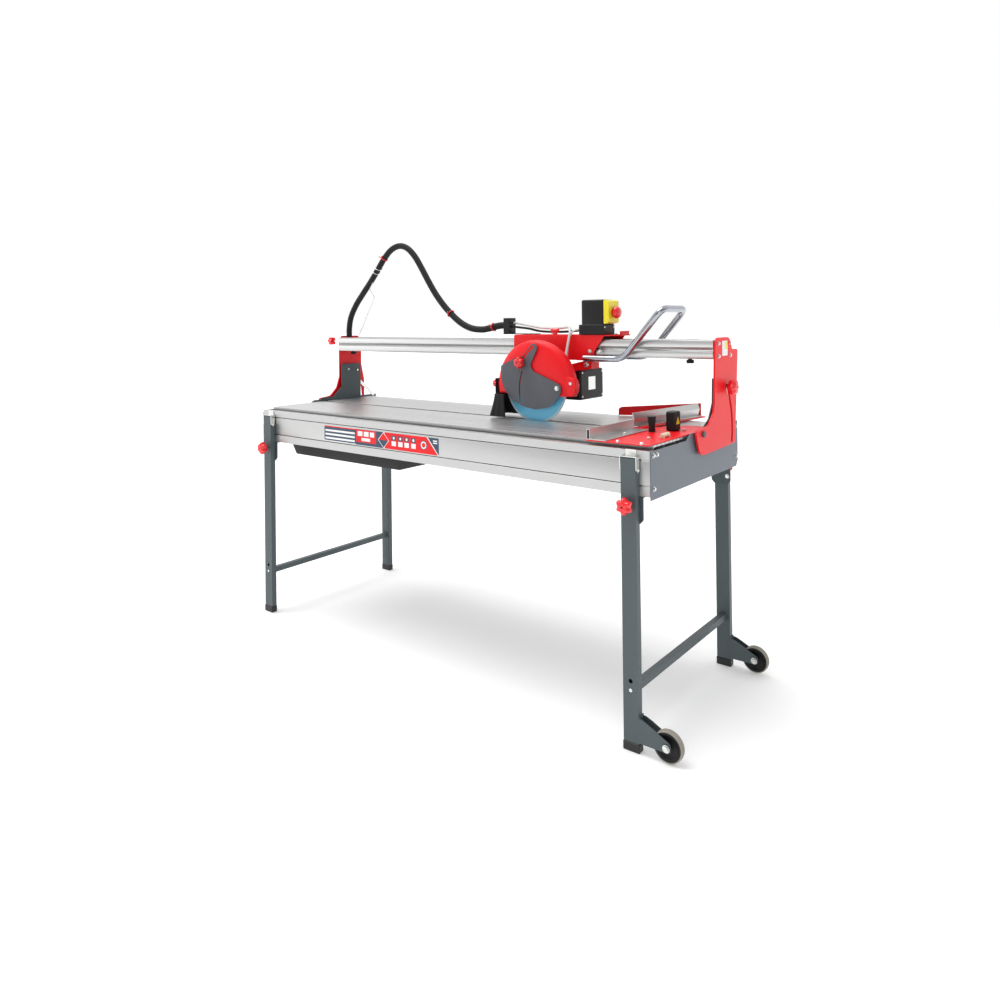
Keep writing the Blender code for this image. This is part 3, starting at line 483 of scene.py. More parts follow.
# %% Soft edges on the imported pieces
def with_soft_edges(node, finish, width, segments=2):
    """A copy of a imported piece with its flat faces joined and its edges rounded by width."""
    bm = bmesh.new()
    bm.from_mesh(frame["nodes"][node].data)
    bmesh.ops.remove_doubles(bm, verts=bm.verts, dist=1e-6)
    bmesh.ops.dissolve_limit(bm, angle_limit=math.radians(0.4), verts=bm.verts, edges=bm.edges)
    mesh = bpy.data.meshes.new(node + "_finished")
    bm.to_mesh(mesh)
    bm.free()
    mesh.shade_smooth()
    mesh.set_sharp_from_angle(angle=math.radians(28))
    mesh.materials.clear()
    mesh.materials.append(FINISHES[finish])
    piece = bpy.data.objects.new(node + "_finished", mesh)
    bpy.context.scene.collection.objects.link(piece)
    if width:
        edge = piece.modifiers.new("soft_edge", "BEVEL")
        edge.width, edge.segments = width, segments
        edge.limit_method, edge.angle_limit = "ANGLE", math.radians(28)
        edge.harden_normals = True
        edge.use_clamp_overlap = True
    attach(piece, frame["nodes"][node]["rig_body"])
    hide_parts(node)
    return piece


CORNERS = ("front_left", "front_right", "rear_left", "rear_right")
SHEET_EDGE = 0.0006
EDGED = {
    "aluminium": (SHEET_EDGE, ["front_rail", "rear_rail"]),
    "beam_aluminium": (SHEET_EDGE, ["beam"]),
    "slab_aluminium": (SHEET_EDGE, ["table_slab_front", "table_slab_rear"]),
    "fence_aluminium": (SHEET_EDGE, ["fence_front", "mitre_fence"]),
    "panel_paint": (SHEET_EDGE, ["end_panel_left", "end_panel_right"]),
    "slate_paint": (SHEET_EDGE, ["cross_bearer_left", "cross_bearer_right", "quadrant_left", "quadrant_right",
                                 *("leg_bracket_" + c for c in CORNERS)]),
    "red_paint": (0.0010, ["fence_plate", "mitre_arm", "arm_left", "arm_right", "carriage", "head_plate"]),
    "grey_plastic": (0.0008, ["lower_guard", "roller_left", "roller_right"]),
    "zinc": (0.0004, ["brace_bar", "motor_shaft", *("leg_clip_" + c for c in CORNERS)]),
    "black_plastic": (0.0015, ["water_tank", "water_pump", "laser_unit", "clamp_lever", "cable_holder", "switch_box",
                               "motor_housing", "drain_plug"]),
    "yellow_plastic": (0.0015, ["switch_cover"]),
    "red_plastic": (0.0012, ["carriage_lock_knob"]),
}
for finish, (width, nodes) in EDGED.items():
    for node in nodes:
        with_soft_edges(node, finish, width)
print("edged", sum(len(nodes) for _, nodes in EDGED.values()), "packed pieces")

# %% [markdown]
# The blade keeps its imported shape, because only its finish matters. The leg frames are one welded piece each
# in slate paint, and their feet are black caps, so the finish changes colour at the cap's height.


# %% Blade and leg frames
CAP_TOP = 0.0245


def leg_finish():
    f = Finish("leg_paint")
    z = f.axes()[2]
    foot = z < CAP_TOP
    peel = f.noise(900, 1.0)
    cloud = f.noise(6, 3.0)
    paint = f.blend(cloud, shade(SLATE, 0.93), shade(SLATE, 1.08))
    f.set(Base_Color=f.blend(foot, paint, (0.012, 0.012, 0.013)), Roughness=0.40 + 0.10 * peel)
    f.bump(peel, 0.00025)
    FINISHES["leg_paint"] = f.material


leg_finish()
frame["nodes"]["blade"].material_slots[0].material = FINISHES["blade_steel"]
for side in ("left", "right"):
    with_soft_edges("leg_frame_" + side, "leg_paint", 0.0008)

# %% [markdown]
# ## Star knobs
# The clamps are six-lobed knobs moulded in glossy red plastic. A turned profile gives the dome and the skirt,
# and a cosine in the angle swells it into lobes. A small dark plug closes the middle, and a plated stud joins
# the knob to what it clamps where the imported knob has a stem.

# %% Knobs
DOME = [(0.0, 1.0), (0.35, 1.0), (0.62, 0.97), (0.82, 0.86), (0.95, 0.64), (1.0, 0.38), (0.96, 0.10), (0.86, 0.0),
        (0.45, 0.0), (0.45, -0.30), (0.0, -0.30)]
RECESS = [(0.0, 1.04), (0.12, 1.04), (0.15, 1.0), (0.15, 0.9), (0.0, 0.9)]


def star_knob(node, axis, centre, base, tip, radius, body):
    """The dome profile scaled to the knob's radius and to its height from base to tip along the axis."""
    height = tip - base
    place = list(centre)
    place.insert("XYZ".index(axis), base)
    dome = [(r * radius, h * height * 0.97) for r, h in DOME]
    knob = make_piece(node + "_star", [turned(dome, axis, place, 72, 6, 0.12)], "red_plastic", body, 50)
    recess = [(r * radius, h * height * 0.97 - (0.0005 if height > 0 else -0.0005)) for r, h in RECESS]
    insert = make_piece(node + "_insert", [turned(recess, axis, place, 6)], "black_plastic", body)
    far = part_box(node)[1 if height < 0 else 0]["XYZ".index(axis)] - base
    if abs(far) > 0.006:
        rod = [(0.0, 0.0), (0.0042, 0.0), (0.0042, far), (0.0, far)]
        make_piece(node + "_stud", [turned(rod, axis, place, 16)], "zinc", body)
    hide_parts(node)
    return knob


for corner in CORNERS:
    low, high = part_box("leg_knob_" + corner)
    outward = -1 if "front" in corner else 1
    middle = ((low.x + high.x) / 2, (low.z + high.z) / 2)
    tip = low.y if outward < 0 else high.y
    star_knob("leg_knob_" + corner, "Y", middle, tip - outward * 0.024, tip, 0.024, "leg_knob_" + corner)
for side, outward in (("left", -1), ("right", 1)):
    low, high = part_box("tilt_knob_" + side)
    middle = ((low.y + high.y) / 2, (low.z + high.z) / 2)
    tip = low.x if outward < 0 else high.x
    star_knob("tilt_knob_" + side, "X", middle, tip - outward * 0.024, tip, 0.026, "tilt_knob_" + side)
low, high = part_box("end_knob")
star_knob("end_knob", "X", ((low.y + high.y) / 2, (low.z + high.z) / 2), low.x + 0.028, low.x, 0.019, "end_knob")
low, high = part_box("guard_knob")
star_knob("guard_knob", "Y", ((low.x + high.x) / 2, (low.z + high.z) / 2), low.y + 0.023, low.y, 0.021, "guard_knob")

# %% [markdown]
# ## Wheels
# Each wheel is a black plastic centre with a grey rubber tread. Both are turned profiles about the axle.

# %% Wheels
for label in ("front", "rear"):
    low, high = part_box("wheel_" + label)
    centre = ((low.x + high.x) / 2, (low.y + high.y) / 2, (low.z + high.z) / 2)
    radius, half = (high.x - low.x) / 2, (high.y - low.y) / 2
    tread = [(0.80, -0.70), (0.93, -0.98), (0.985, -0.82), (1.0, -0.5), (1.0, -0.35), (0.985, -0.30), (0.985, -0.22),
             (1.0, -0.17), (1.0, 0.17), (0.985, 0.22), (0.985, 0.30), (1.0, 0.35), (1.0, 0.5), (0.985, 0.82),
             (0.93, 0.98), (0.80, 0.70), (0.80, -0.70)]
    tyre = make_piece("tread_" + label, [turned([(r * radius, h * half) for r, h in tread], "Y", centre, 64)],
                      "tyre", "wheel_" + label)
    disc = [(0.125, -1.0), (0.24, -1.0), (0.27, -0.92), (0.28, -0.35), (0.36, -0.28), (0.60, -0.30), (0.70, -0.55),
            (0.78, -0.90), (0.90, -0.94), (0.925, -0.85)]
    rim = disc + [(r, -h) for r, h in reversed(disc)] + [disc[0]]
    hub = make_piece("hub_" + label, [turned([(r * radius, h * half) for r, h in rim], "Y", centre, 64)],
                     "black_plastic", "wheel_" + label)
    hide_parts("wheel_" + label)

# %% [markdown]
# ## The blade guard
# The guard is a red pressing, round over the blade and straight along its bottom edge. It is a turned profile
# whose angle runs between the two points where each radius meets the bottom edge.

# %% Blade guard
_, GUARD_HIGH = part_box("blade_guard")
GUARD_R = GUARD_HIGH.z - BLADE_Z
GUARD_HALF = GUARD_HIGH.y
GUARD_EDGE = 0.886


def guard_shell():
    """Rows follow the section from the front face over the rim to the back face, columns the angle."""
    front = [(0.0, -1.0), (0.2, -1.0), (0.5, -1.0), (0.72, -0.97), (0.84, -0.90), (0.915, -0.78), (0.965, -0.60),
             (0.99, -0.36), (0.998, -0.12)]
    section = np.array(front + [(0.998, 0.30), (0.99, 0.70), (0.975, 0.92), (0.94, 1.0), (0.6, 1.0), (0.22, 1.0)])
    r = (section[:, 0] * GUARD_R)[:, None]
    y = (section[:, 1] * GUARD_HALF)[:, None]
    drop = np.arcsin(np.clip((BLADE_Z - GUARD_EDGE) / np.maximum(r, 1e-6), 0, 1))
    u = np.linspace(0, 1, 73)[None, :]
    angle = -drop + u * (np.pi + 2 * drop)
    points = np.stack([BLADE_X + r * np.cos(angle), y + 0 * angle, BLADE_Z + r * np.sin(angle)], -1)
    return points.reshape(-1, 3), grid_faces(len(section), 73, wrap_columns=False)


guard = make_piece("guard_shell", [guard_shell()], "red_paint", "head", 60)
wall = guard.modifiers.new("wall", "SOLIDIFY")
wall.thickness, wall.offset = 0.0025, -1
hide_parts("blade_guard")
lug_outline = [(0.418, 0.888), (0.440, 0.888), (0.450, 0.905), (0.452, 0.925), (0.446, 0.944), (0.432, 0.950),
               (0.412, 0.950)]
lug = make_piece("guard_lug", [slab(lug_outline, "Y", -GUARD_HALF, 0.0)], "red_paint", "head")
edge = lug.modifiers.new("soft_edge", "BEVEL")
edge.width, edge.segments = 0.0025, 3

# %% [markdown]
# ## The pull handle
# A chromed bar that runs level, rises and crosses over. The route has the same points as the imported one, with rounder
# bends and a finer ring.

# %% Handle
HANDLE_SIDE = [(0.425, 1.0085), (0.572, 1.0085), (0.712, 1.1700)]
HANDLE_ROUTE = [*((x, 0.0720, z) for x, z in HANDLE_SIDE), *((x, 0.2415, z) for x, z in reversed(HANDLE_SIDE))]
handle = make_piece("pull_handle", [hose(rounded_path(HANDLE_ROUTE, 0.034, 10), 0.0110, 24)], "chrome", "carriage")
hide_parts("handle")

# %% [markdown]
# ## The stop button
# A red mushroom on a short stem, standing out of the yellow cover.

# %% Stop button
low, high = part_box("stop_button")
button_centre = (0.0, (low.y + high.y) / 2, (low.z + high.z) / 2)
MUSHROOM = [(0.0, 0.5130), (0.0120, 0.5130), (0.0120, 0.5225), (0.0185, 0.5225), (0.0200, 0.5245), (0.0200, 0.5270),
            (0.0192, 0.5320), (0.0170, 0.5365), (0.0130, 0.5390), (0.0, 0.5400)]
button = make_piece("stop_mushroom", [turned(MUSHROOM, "X", button_centre, 48)], "red_plastic", "stop_button", 40)
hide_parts("stop_button")

# %% [markdown]
# ## The splash skirt
# A flared rubber channel stands beside the blade and wipes the table. It is a path of wall points that leans outward
# toward its hem, with shallow pleats.

# %% Splash skirt
def skirt_wall():
    """Rows go down the wall, columns round the channel. The wall leans out with depth and is pleated."""
    corner = [(1.0, -1.0), (0.5, -1.0), (0.12, -0.98), (0.03, -0.9), (0.0, -0.7), (0.0, 0.0), (0.0, 0.7), (0.03, 0.9),
              (0.12, 0.98), (0.5, 1.0), (1.0, 1.0)]
    plan = smooth_path([(*p, 0) for p in corner], 81)[:, :2]
    down = np.linspace(0, 1, 16)[:, None]
    flare = down**1.4
    around = np.arange(81)[None, :]
    pleat = 0.0012 * flare * np.sin(around * 0.95)
    x = (0.134 + plan[:, 0] * 0.0420) * (1 - flare) + (0.112 + plan[:, 0] * 0.0700) * flare - pleat
    y = plan[:, 1] * (0.0490 * (1 - flare) + 0.0500 * flare) + pleat * np.sign(plan[:, 1])
    z = 0.8845 - 0.0765 * down + 0 * x
    return np.stack([x + 0 * z, y + 0 * z, z], -1).reshape(-1, 3), grid_faces(16, 81, wrap_columns=False)


skirt = make_piece("skirt_rubber", [skirt_wall()], "rubber", None, 70)
wall = skirt.modifiers.new("wall", "SOLIDIFY")
wall.thickness, wall.offset = 0.0035, 1
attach(skirt, "splash_skirt")
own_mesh(skirt)
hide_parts("splash_skirt")
tab_side = [(0.1130, 0.936), (0.1160, 0.936), (0.1160, 0.888), (0.1240, 0.880), (0.1335, 0.880), (0.1335, 0.874),
            (0.1220, 0.874), (0.1130, 0.885)]
tab = make_piece("skirt_tab", [slab(tab_side, "Y", -0.018, 0.018)], "rubber", "splash_skirt")
skirt_knob = make_piece("skirt_knob", [turned([(r * 0.014, -h * 0.020) for r, h in DOME], "X", (0.112, 0, 0.917),
                                              48, 6, 0.12)], "red_plastic", "splash_skirt", 50)

# %% [markdown]
# ## The conduit
# A ribbed black conduit carries the water hose and the cable from the bridge's left end to the carriage. It arches up
# and over a spring wire.

# %% Conduit
CONDUIT_ROUTE = [
    (-0.850, 0.140, 1.0730), (-0.850, 0.140, 1.110), (-0.838, 0.140, 1.160), (-0.805, 0.141, 1.213),
    (-0.756, 0.142, 1.266), (-0.703, 0.143, 1.320), (-0.660, 0.144, 1.369), (-0.622, 0.145, 1.412),
    (-0.580, 0.146, 1.446), (-0.532, 0.147, 1.459), (-0.485, 0.147, 1.446), (-0.443, 0.148, 1.410),
    (-0.405, 0.148, 1.360), (-0.368, 0.148, 1.306), (-0.328, 0.148, 1.252), (-0.285, 0.148, 1.205),
    (-0.238, 0.148, 1.164), (-0.188, 0.148, 1.130), (-0.136, 0.148, 1.110), (-0.082, 0.148, 1.105),
    (-0.042, 0.148, 1.1105), (-0.004, 0.148, 1.1185), (0.0345, 0.148, 1.1215),
]
RIBS = 250
CONDUIT_START, CONDUIT_END = CONDUIT_ROUTE[0], CONDUIT_ROUTE[-1]


def share_of_travel(x):
    """How much of the carriage's travel a point of the conduit takes, from 0 at the bridge to 1."""
    t = np.clip((x - CONDUIT_START[0]) / (CONDUIT_END[0] - CONDUIT_START[0]), 0, 1)
    return t * t * (3 - 2 * t)


def follow_both(piece, weights):
    """Bakes the piece's placement into its mesh. The weights are not used."""
    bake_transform(piece)


conduit_path = smooth_path(CONDUIT_ROUTE, RIBS * 4 + 1)
rib = 0.0127 - 0.0006 * (np.arange(len(conduit_path)) % 4 > 1)
conduit = make_piece("conduit_ribbed", [hose(conduit_path, rib, 20)], "rubber", None, 60)
nearest = np.array([v.co for v in conduit.data.vertices])
ring_of = np.concatenate([np.argmin(np.linalg.norm(conduit_path[None] - part[:, None], axis=2), axis=1)
                          for part in np.array_split(nearest, 40)])
follow_both(conduit, share_of_travel(conduit_path[ring_of, 0]))
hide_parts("conduit")
print("conduit", round(length_of(conduit_path), 3), "m long")


def at_x(path, x, after=0):
    """Index of the path's point nearest to x, from the given index on."""
    return after + int(np.argmin(np.abs(path[after:, 0] - x)))


# %% [markdown]
# Three red cable ties hold the lead inside to the conduit. Each is a thin loop round one ring of the conduit with a
# lock and a loose tail.

# %% Ties on the conduit
tie_parts = []
for x in (-0.622, -0.245, -0.024):
    k = at_x(conduit_path, x, 200)
    ahead, side, up = (v[k] for v in ring_frames(conduit_path))
    middle = conduit_path[k]
    angle = np.linspace(0, 2 * np.pi, 25)[:, None]
    loop = middle + 0.0146 * (side * np.cos(angle) + up * np.sin(angle))
    tie_parts.append(hose(loop, 0.0022, 8, False))
    tail = [middle + 0.0146 * up, middle + 0.020 * up + 0.002 * side, middle + 0.027 * up + 0.010 * side]
    tie_parts.append(hose(tail, 0.0016, 6))
    lock = middle + 0.0165 * up
    tie_parts.append(turned([(0.0, -0.004), (0.0040, -0.004), (0.0040, 0.004), (0.0, 0.004)], "Z", lock, 8))
ties = make_piece("conduit_ties", tie_parts, "red_plastic", None, 50)
follow_both(ties, share_of_travel(np.array([v.co.x for v in ties.data.vertices])))
conduit_path[::8].tolist() + [conduit_path[-1].tolist()]

# %% [markdown]
# A bent spring wire stands on the beam and holds the conduit in two rings.

# %% Spring wire
k = at_x(conduit_path, -0.671, 0)
ahead, side, up = (v[k] for v in ring_frames(conduit_path))
angle = np.linspace(0, 2 * np.pi * 1.9, 48)[:, None]
coil = (conduit_path[k] + 0.0148 * (side * np.cos(angle) + up * np.sin(angle))
        + ahead * np.linspace(-0.012, 0.030, 48)[:, None])
stem = [(-0.790, 0.140, 1.0726), (-0.684, 0.142, 1.247), (-0.714, 0.142, 1.282), (-0.672, 0.142, 1.350)]
wire_path = np.vstack([rounded_path(stem, 0.006, 4), coil])
wire = make_piece("spring_wire", [hose(wire_path, 0.0016, 8)], "zinc", None, 60)
heights = np.array([v.co.z for v in wire.data.vertices])
top_weight = float(share_of_travel(np.array([conduit_path[k, 0]]))[0])
follow_both(wire, top_weight * np.clip((heights - 1.072) / (conduit_path[k, 2] - 1.072), 0, 1))

# %% [markdown]
# ## Leads and water hose on the head
# A black lead and a clear water hose run from the cable holder along the carriage. A grey lead comes out of the switch
# box and drops to the motor, and the clear hose drops beside it to the guard.

# %% Leads
top_lead = smooth_path([
    (0.0665, 0.142, 1.116), (0.105, 0.141, 1.1125), (0.150, 0.138, 1.108), (0.200, 0.134, 1.099), (0.250, 0.132, 1.0965),
    (0.300, 0.131, 1.0965), (0.350, 0.128, 1.0990), (0.385, 0.122, 1.103), (0.4012, 0.118, 1.105),
], 60)
top_hose = smooth_path([
    (0.0665, 0.156, 1.130), (0.105, 0.151, 1.1255), (0.150, 0.146, 1.119), (0.200, 0.138, 1.112), (0.250, 0.130, 1.1095),
    (0.300, 0.122, 1.110), (0.335, 0.108, 1.113), (0.356, 0.092, 1.110), (0.366, 0.077, 1.096), (0.368, 0.066, 1.072),
    (0.367, 0.058, 1.045), (0.368, 0.047, 1.018), (0.376, 0.032, 0.990), (0.392, 0.012, 0.968), (0.408, -0.006, 0.952),
    (0.4220, -0.014, 0.9440),
], 120)
drop_lead = smooth_path([
    (0.4012, 0.096, 1.104), (0.388, 0.088, 1.1045), (0.376, 0.080, 1.0985), (0.368, 0.074, 1.084), (0.364, 0.071, 1.064),
    (0.360, 0.070, 1.042), (0.355, 0.073, 1.020), (0.348, 0.082, 0.999), (0.342, 0.096, 0.983), (0.338, 0.110, 0.9685),
], 90)


def lead(name, path, radius, finish, bends):
    """A flexible lead of one radius. It rides on the carriage unless it bends; a lead that bends is left on no body."""
    piece = make_piece(name, [hose(path, radius, 14)], finish, None if bends else "carriage", 60)
    if bends:
        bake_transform(piece)
    print(name, round(length_of(path), 3), "m long")
    return piece


lead("top_lead", top_lead, 0.0042, "rubber", False)
lead("water_hose", top_hose, 0.0045, "clear_hose", True)
lead("motor_lead", drop_lead, 0.0036, "clear_hose", True)

# %% [markdown]
# ## Bolts and screws
# Hexagon bolts and round screw heads hold the sheet metal. Each is a turned profile with six or twenty-four
# sides, and all those on one body are one piece.


# %% Fasteners
def hexagon(axis, centre, radius, height, outward):
    """A bolt head on a washer. Outward is the sign of the axis that the head points along."""
    washer = [(0, 0), (1.35, 0), (1.35, 0.18), (1.0, 0.18)]
    head = [(1.0, 0.18), (1.0, 0.85), (0.86, 1.0), (0.0, 1.0)]
    scale = [radius, outward * height]
    return [turned(np.array(washer) * scale, axis, centre, 24), turned(np.array(head) * scale, axis, centre, 6)]


def screw(axis, centre, radius, height, outward):
    """A low round head with a dimple."""
    head = [(0, 0), (1.0, 0), (0.97, 0.4), (0.8, 0.8), (0.45, 1.0), (0.30, 0.98), (0.25, 0.6), (0, 0.6)]
    return [turned(np.array(head) * [radius, outward * height], axis, centre, 24)]


def fasteners(name, body, heads):
    """One piece from rows of (maker, axis, centre, radius, height, outward)."""
    parts = [part for maker, *row in heads for part in maker(*row)]
    make_piece(name, parts, "zinc", body, 30)


half_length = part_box("end_panel_right")[1].x
frame_heads = []
for sign in (-1, 1):
    face = sign * half_length
    for y, z in ((-0.288, 0.778), (-0.268, 0.778), (-0.286, 0.690), (0.286, 0.694), (0.286, 0.790), (0.240, 0.790)):
        frame_heads.append((hexagon, "X", (face, y, z), 0.0050, 0.0050, sign))
for x, y in ((0.753, -0.284), (0.824, -0.283), (0.796, -0.188), (0.809, 0.010), (0.700, -0.150)):
    frame_heads.append((hexagon, "Z", (x, y, 0.8034), 0.0055, 0.0060, 1))
for x in (-0.8035, 0.8035):
    for y, out in ((-0.3016, -1), (0.3016, 1)):
        inner = y - out * 0.0040
        frame_heads.append((hexagon, "Y", (x + 0.022, inner, 0.622), 0.0050, 0.0040, -out))
frame_heads.append((screw, "X", (-0.8524, 0.135, 0.930), 0.0045, 0.0030, 1))
frame_heads.append((screw, "X", (0.8524, 0.135, 0.930), 0.0045, 0.0030, -1))
fasteners("frame_fasteners", "frame", frame_heads)

arm_heads = []
for sign in (-1, 1):
    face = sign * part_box("arm_right")[1].x
    for y, z in ((0.121, 1.061), (0.212, 1.061), (0.121, 1.022), (0.212, 1.022)):
        arm_heads.append((hexagon, "X", (face, y, z), 0.0050, 0.0050, sign))
fasteners("arm_fasteners", "bridge", arm_heads)

carriage_heads = [(hexagon, "Z", (x, y, 1.0870), 0.0050, 0.0045, 1) for x, y in
                  ((0.210, 0.200), (0.330, 0.200), (0.516, 0.130), (0.516, 0.172))]
carriage_heads += [(hexagon, "Y", (x, 0.0840, z), 0.0050, 0.0050, -1) for x, z in ((0.440, 1.032), (0.480, 1.032))]
carriage_heads += [(screw, "X", (0.4980, y, 1.113), 0.0032, 0.0022, 1) for y in (0.084, 0.144)]
fasteners("carriage_fasteners", "carriage", carriage_heads)

head_heads = [(hexagon, "Y", (0.382, -GUARD_HALF - 0.0066 - 0.0004, 0.913), 0.0060, 0.0055, -1),
              (screw, "Y", (0.432, -GUARD_HALF, 0.930), 0.0060, 0.0035, -1),
              (hexagon, "Z", (0.395, 0.005, 0.950), 0.0045, 0.0050, 1),
              (hexagon, "Y", (0.420, 0.0930, 0.985), 0.0080, 0.0060, -1),
              *((screw, "X", (0.392, y, z), 0.0040, 0.0025, 1) for y in (0.110, 0.240) for z in (0.874, 0.956))]
fasteners("head_fasteners", "head", head_heads)

for body, side in (("legs_left", -1), ("legs_right", 1)):
    rows = []
    for y in (-1, 1):
        face = y * 0.3224
        rows.append((screw, "Y", (side * 0.8035, face, 0.160), 0.0050, 0.0020, y))
        if side > 0:
            for edge in (-0.0165, 0.0165):
                rows.append((hexagon, "Y", (0.906, y * 0.3124 + edge * 1.0, 0.0435), 0.0075, 0.0050,
                             1 if edge > 0 else -1))
    fasteners(body + "_fasteners", body, rows)
for corner in CORNERS:
    low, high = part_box("leg_clip_" + corner)
    y, z = (low.y + high.y) / 2, 0.740
    y = -0.3124 if "front" in corner else 0.3124
    fasteners("leg_clip_pin_" + corner, "leg_clip_" + corner,
              [(screw, "X", (low.x, y, z), 0.0045, 0.0035, -1), (screw, "X", (high.x, y, z), 0.0045, 0.0035, 1)])

# %% [markdown]
# ## Label on the front rail
# The rail carries a printed vinyl label. Its field, stripes, diamond and icons are kept as plain blocks with
# no lettering: each is a thin slab a fraction of a millimetre further out than the one below it.

# %% Label
RAIL_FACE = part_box("front_rail")[0].y + 0.0006
LAYER = 0.00008


def decal(name, shapes, finish, layer, face=RAIL_FACE, body="frame"):
    """Flat shapes on the rail's face, given as outlines in X and Z, lifted by whole layers."""
    parts = [slab(outline, "Y", face - LAYER * (layer + 1), face - LAYER * layer) for outline in shapes]
    make_piece(name, parts, finish, body)


def block(x0, z0, x1, z1):
    return [(x0, z0), (x1, z0), (x1, z1), (x0, z1)]


def round_shape(x, z, radius, sides=24):
    a = np.linspace(0, 2 * np.pi, sides, endpoint=False)
    return np.stack([x + radius * np.cos(a), z + radius * np.sin(a)], -1)


def diamond(x, z, half_x, half_z):
    return [(x - half_x, z), (x, z - half_z), (x + half_x, z), (x, z + half_z)]


LOW, TOP = 0.7030, 0.7585
decal("label_white", [block(-0.478, LOW, 0.104, TOP)], "white_vinyl", 0)
decal("label_navy", [block(-0.4760, 0.7050, -0.3000, 0.7550), block(-0.3000, LOW, -0.1560, TOP),
                     [(0.0540, TOP), (0.1035, LOW), (0.1035, TOP)]], "navy_vinyl", 1)
decal("label_bars", [block(-0.4700, z, -0.3060, z + 0.0070) for z in (0.7100, 0.7240, 0.7380)], "white_vinyl", 2)
decal("label_red", [block(-0.2985, 0.7130, -0.1950, 0.7575), block(-0.4760, 0.7545, -0.3000, 0.7580),
                    [(-0.1520, LOW), (0.1000, LOW), (0.0500, TOP), (-0.1520, TOP)]], "red_vinyl", 2)
decal("label_diamond_edge", [diamond(-0.1570, (LOW + TOP) / 2, 0.0280, 0.0275)], "white_vinyl", 3)
decal("label_diamond_top", [[(-0.1820, 0.7308), (-0.1320, 0.7308), (-0.1570, 0.7560)]], "red_vinyl", 4)
decal("label_diamond_bottom", [[(-0.1820, 0.7308), (-0.1570, 0.7056), (-0.1320, 0.7308)]], "navy_vinyl", 4)
icons = [-0.106, -0.074, -0.044, -0.012]
decal("label_icons_dark", [block(x - 0.0105, 0.7340, x + 0.0105, 0.7500) for x in icons]
      + [round_shape(0.0350, 0.7310, 0.0150)], "navy_vinyl", 3)
decal("label_icons_light", [block(x - 0.0105, 0.7150, x + 0.0105, 0.7310) for x in icons]
      + [round_shape(0.0350, 0.7310, 0.0125)] + [round_shape(x, 0.7420, 0.0048) for x in icons]
      + [block(-0.2900, 0.7350, -0.2650, 0.7520), block(-0.2580, 0.7350, -0.2330, 0.7520),
         block(-0.2260, 0.7350, -0.2040, 0.7520), block(-0.2700, 0.7180, -0.2250, 0.7290),
         block(0.0780, 0.7400, 0.0960, 0.7440), block(0.0780, 0.7470, 0.0960, 0.7510)], "white_vinyl", 4)
decal("label_slant", [[(0.0490, TOP), (0.0990, LOW), (0.1010, LOW), (0.0510, TOP)]], "white_vinyl", 4)
decal("label_round", [round_shape(0.0350, 0.7310, 0.0080)], "red_vinyl", 5)

# %% [markdown]
# The rail is drawn in three bands, with fine grooves between them. A thin dark strip lies in each groove as painted
# shadow, so that the bands read apart in flat light.

# %% Painted shadow in the seams of the rail
# Dark strips of painted shadow in the rail's grooves.
for name, z in (("rail_seam_shadow_top", 0.7656), ("rail_seam_shadow_bottom", 0.6984)):
    decal(name, [block(-0.833, z - 0.0010, 0.833, z + 0.0010)], "rubber", 0, RAIL_FACE + 0.0006)

# %% [markdown]
# ## Small fittings
# Two rubber stops under the beam limit the carriage, a spirit level lies on the fence plate, and the motor,
# the laser and the right arm carry small plain stickers.

# %% Stops, level and stickers
for name, low_x, high_x in (("beam_stop_right", 0.762, 0.785), ("beam_stop_left", -0.835, -0.812)):
    middle = ((low_x + high_x) / 2, 0.140, 0.0)
    stop = [(0.0, 1.0130), (0.0060, 1.0130), (0.0060, 1.0090), (0.0115, 1.0080), (0.0120, 1.0010), (0.0110, 0.9975),
            (0.0, 0.9970)]
    make_piece(name, [turned(stop, "Z", middle, 24)], "rubber", "bridge")

level = [(0.0, -0.022), (0.0050, -0.022), (0.0062, -0.020), (0.0062, 0.020), (0.0050, 0.022), (0.0, 0.022)]
make_piece("level_vial", [turned(level, "Y", (0.818, -0.132, 0.8100), 20)], "cream_plastic", "frame")
make_piece("level_feet", [slab(block(0.8105, 0.8034, 0.8255, 0.8065), "Y", y, y + 0.004)
                                  for y in (-0.152, -0.116)], "white_vinyl", "frame")
collar = [(0.0, 0.9665), (0.030, 0.9665), (0.030, 0.9760), (0.027, 0.9800), (0.018, 0.9800), (0.018, 0.9770),
          (0.0, 0.9770)]
motor_collar = make_piece("motor_collar", [turned(collar, "Z", (0.318, 0.160, 0), 36)], "grey_plastic", "head")
motor_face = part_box("motor_housing")[1].x
plate_outline = [(0.150, 0.895), (0.195, 0.895), (0.195, 0.940), (0.150, 0.940)]
motor_plate = make_piece("motor_plate", [slab(plate_outline, "X", motor_face, motor_face + 0.0006)], "zinc", "head")
laser_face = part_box("laser_unit")[1].x
make_piece("laser_sticker", [slab([(-0.014, 0.824), (0.010, 0.824), (-0.002, 0.846)], "X", laser_face,
                                          laser_face + 0.0004)], "yellow_plastic", "frame")
arm_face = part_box("arm_right")[1].x
make_piece("arm_sticker", [slab(block(0.150, 1.022, 0.192, 1.068), "X", arm_face, arm_face + 0.0003)],
                   "white_vinyl", "bridge")
make_piece("arm_sticker_field", [slab(block(0.172, 1.042, 0.189, 1.065), "X", arm_face + 0.0003,
                                              arm_face + 0.0006)], "yellow_plastic", "bridge")

# %% [markdown]
# ## Floor and light
# A pale studio: a near-white floor that runs to the horizon, a broad soft sun that puts a shadow under the
# table, three weak panels, and a sky that is darker behind the camera so that bare metal has something to show.


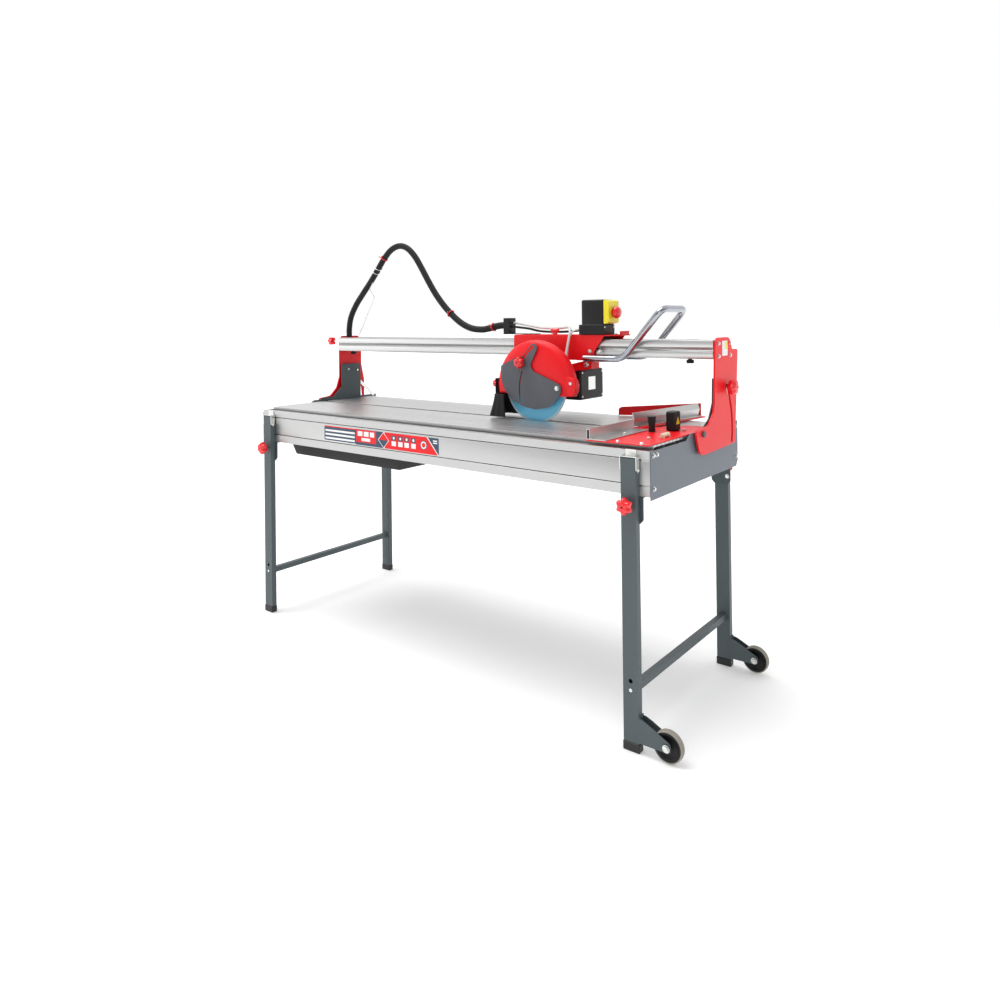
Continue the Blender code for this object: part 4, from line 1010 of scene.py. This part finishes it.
# %% Studio
def studio():
    world = bpy.data.worlds.new("studio")
    bpy.context.scene.world = world
    world.use_nodes = True
    tree = world.node_tree
    sky = tree.nodes["Background"]
    where = tree.nodes.new("ShaderNodeTexCoord")
    lean = tree.nodes.new("ShaderNodeVectorMath")
    lean.operation = "DOT_PRODUCT"
    lean.inputs[1].default_value = (-0.58, 0.74, 0.34)
    tree.links.new(where.outputs["Generated"], lean.inputs[0])
    ramp = tree.nodes.new("ShaderNodeMapRange")
    ramp.interpolation_type = "SMOOTHSTEP"
    for key, value in (("From Min", -0.75), ("From Max", 0.45), ("To Min", 0.45), ("To Max", 1.3)):
        ramp.inputs[key].default_value = value
    tree.links.new(lean.outputs["Value"], ramp.inputs["Value"])
    tree.links.new(ramp.outputs[0], sky.inputs["Strength"])
    sky.inputs["Color"].default_value = (1.0, 1.0, 1.0, 1.0)


def soft_light(name, place, target, width, depth, power):
    light = bpy.data.lights.new(name, "AREA")
    light.shape, light.size, light.size_y, light.energy = "RECTANGLE", width, depth, power
    lamp = bpy.data.objects.new(name, light)
    bpy.context.scene.collection.objects.link(lamp)
    lamp.location = place
    lamp.rotation_euler = (Vector(target) - Vector(place)).to_track_quat("-Z", "Y").to_euler()


studio()
SUN_WIDTH = math.radians(38)
sun = bpy.data.lights.new("sun", "SUN")
sun.energy, sun.angle = 1.9, SUN_WIDTH
sun_lamp = bpy.data.objects.new("sun", sun)
bpy.context.scene.collection.objects.link(sun_lamp)
sun_lamp.rotation_euler = Vector((0.34, 0.16, -1)).to_track_quat("-Z", "Y").to_euler()
soft_light("overhead", (-0.3, -0.2, 3.6), (0, 0, 0.4), 3.6, 2.4, 20)
soft_light("front_fill", (2.6, -3.4, 2.2), (0, 0, 0.8), 2.0, 1.6, 16)
soft_light("left_fill", (-3.4, -2.2, 1.8), (0, 0, 0.8), 1.6, 1.6, 12)

FLOOR_REACH = 60.0
floor_finish = Finish("floor_paper")
floor_finish.set(Base_Color=(0.90, 0.90, 0.90), Roughness=0.9, Emission_Color=(1, 1, 1),
                 Emission_Strength=0.22)
FINISHES["floor_paper"] = floor_finish.material
floor = make_piece("floor", [slab([(-FLOOR_REACH, -FLOOR_REACH), (FLOOR_REACH, -FLOOR_REACH),
                                   (FLOOR_REACH, FLOOR_REACH), (-FLOOR_REACH, FLOOR_REACH)], "Z", -0.02, 0.0)],
                   "floor_paper", None)
bpy.context.scene.view_settings.view_transform = "Standard"
EXPOSURE = -0.38
bpy.context.scene.view_settings.exposure = EXPOSURE
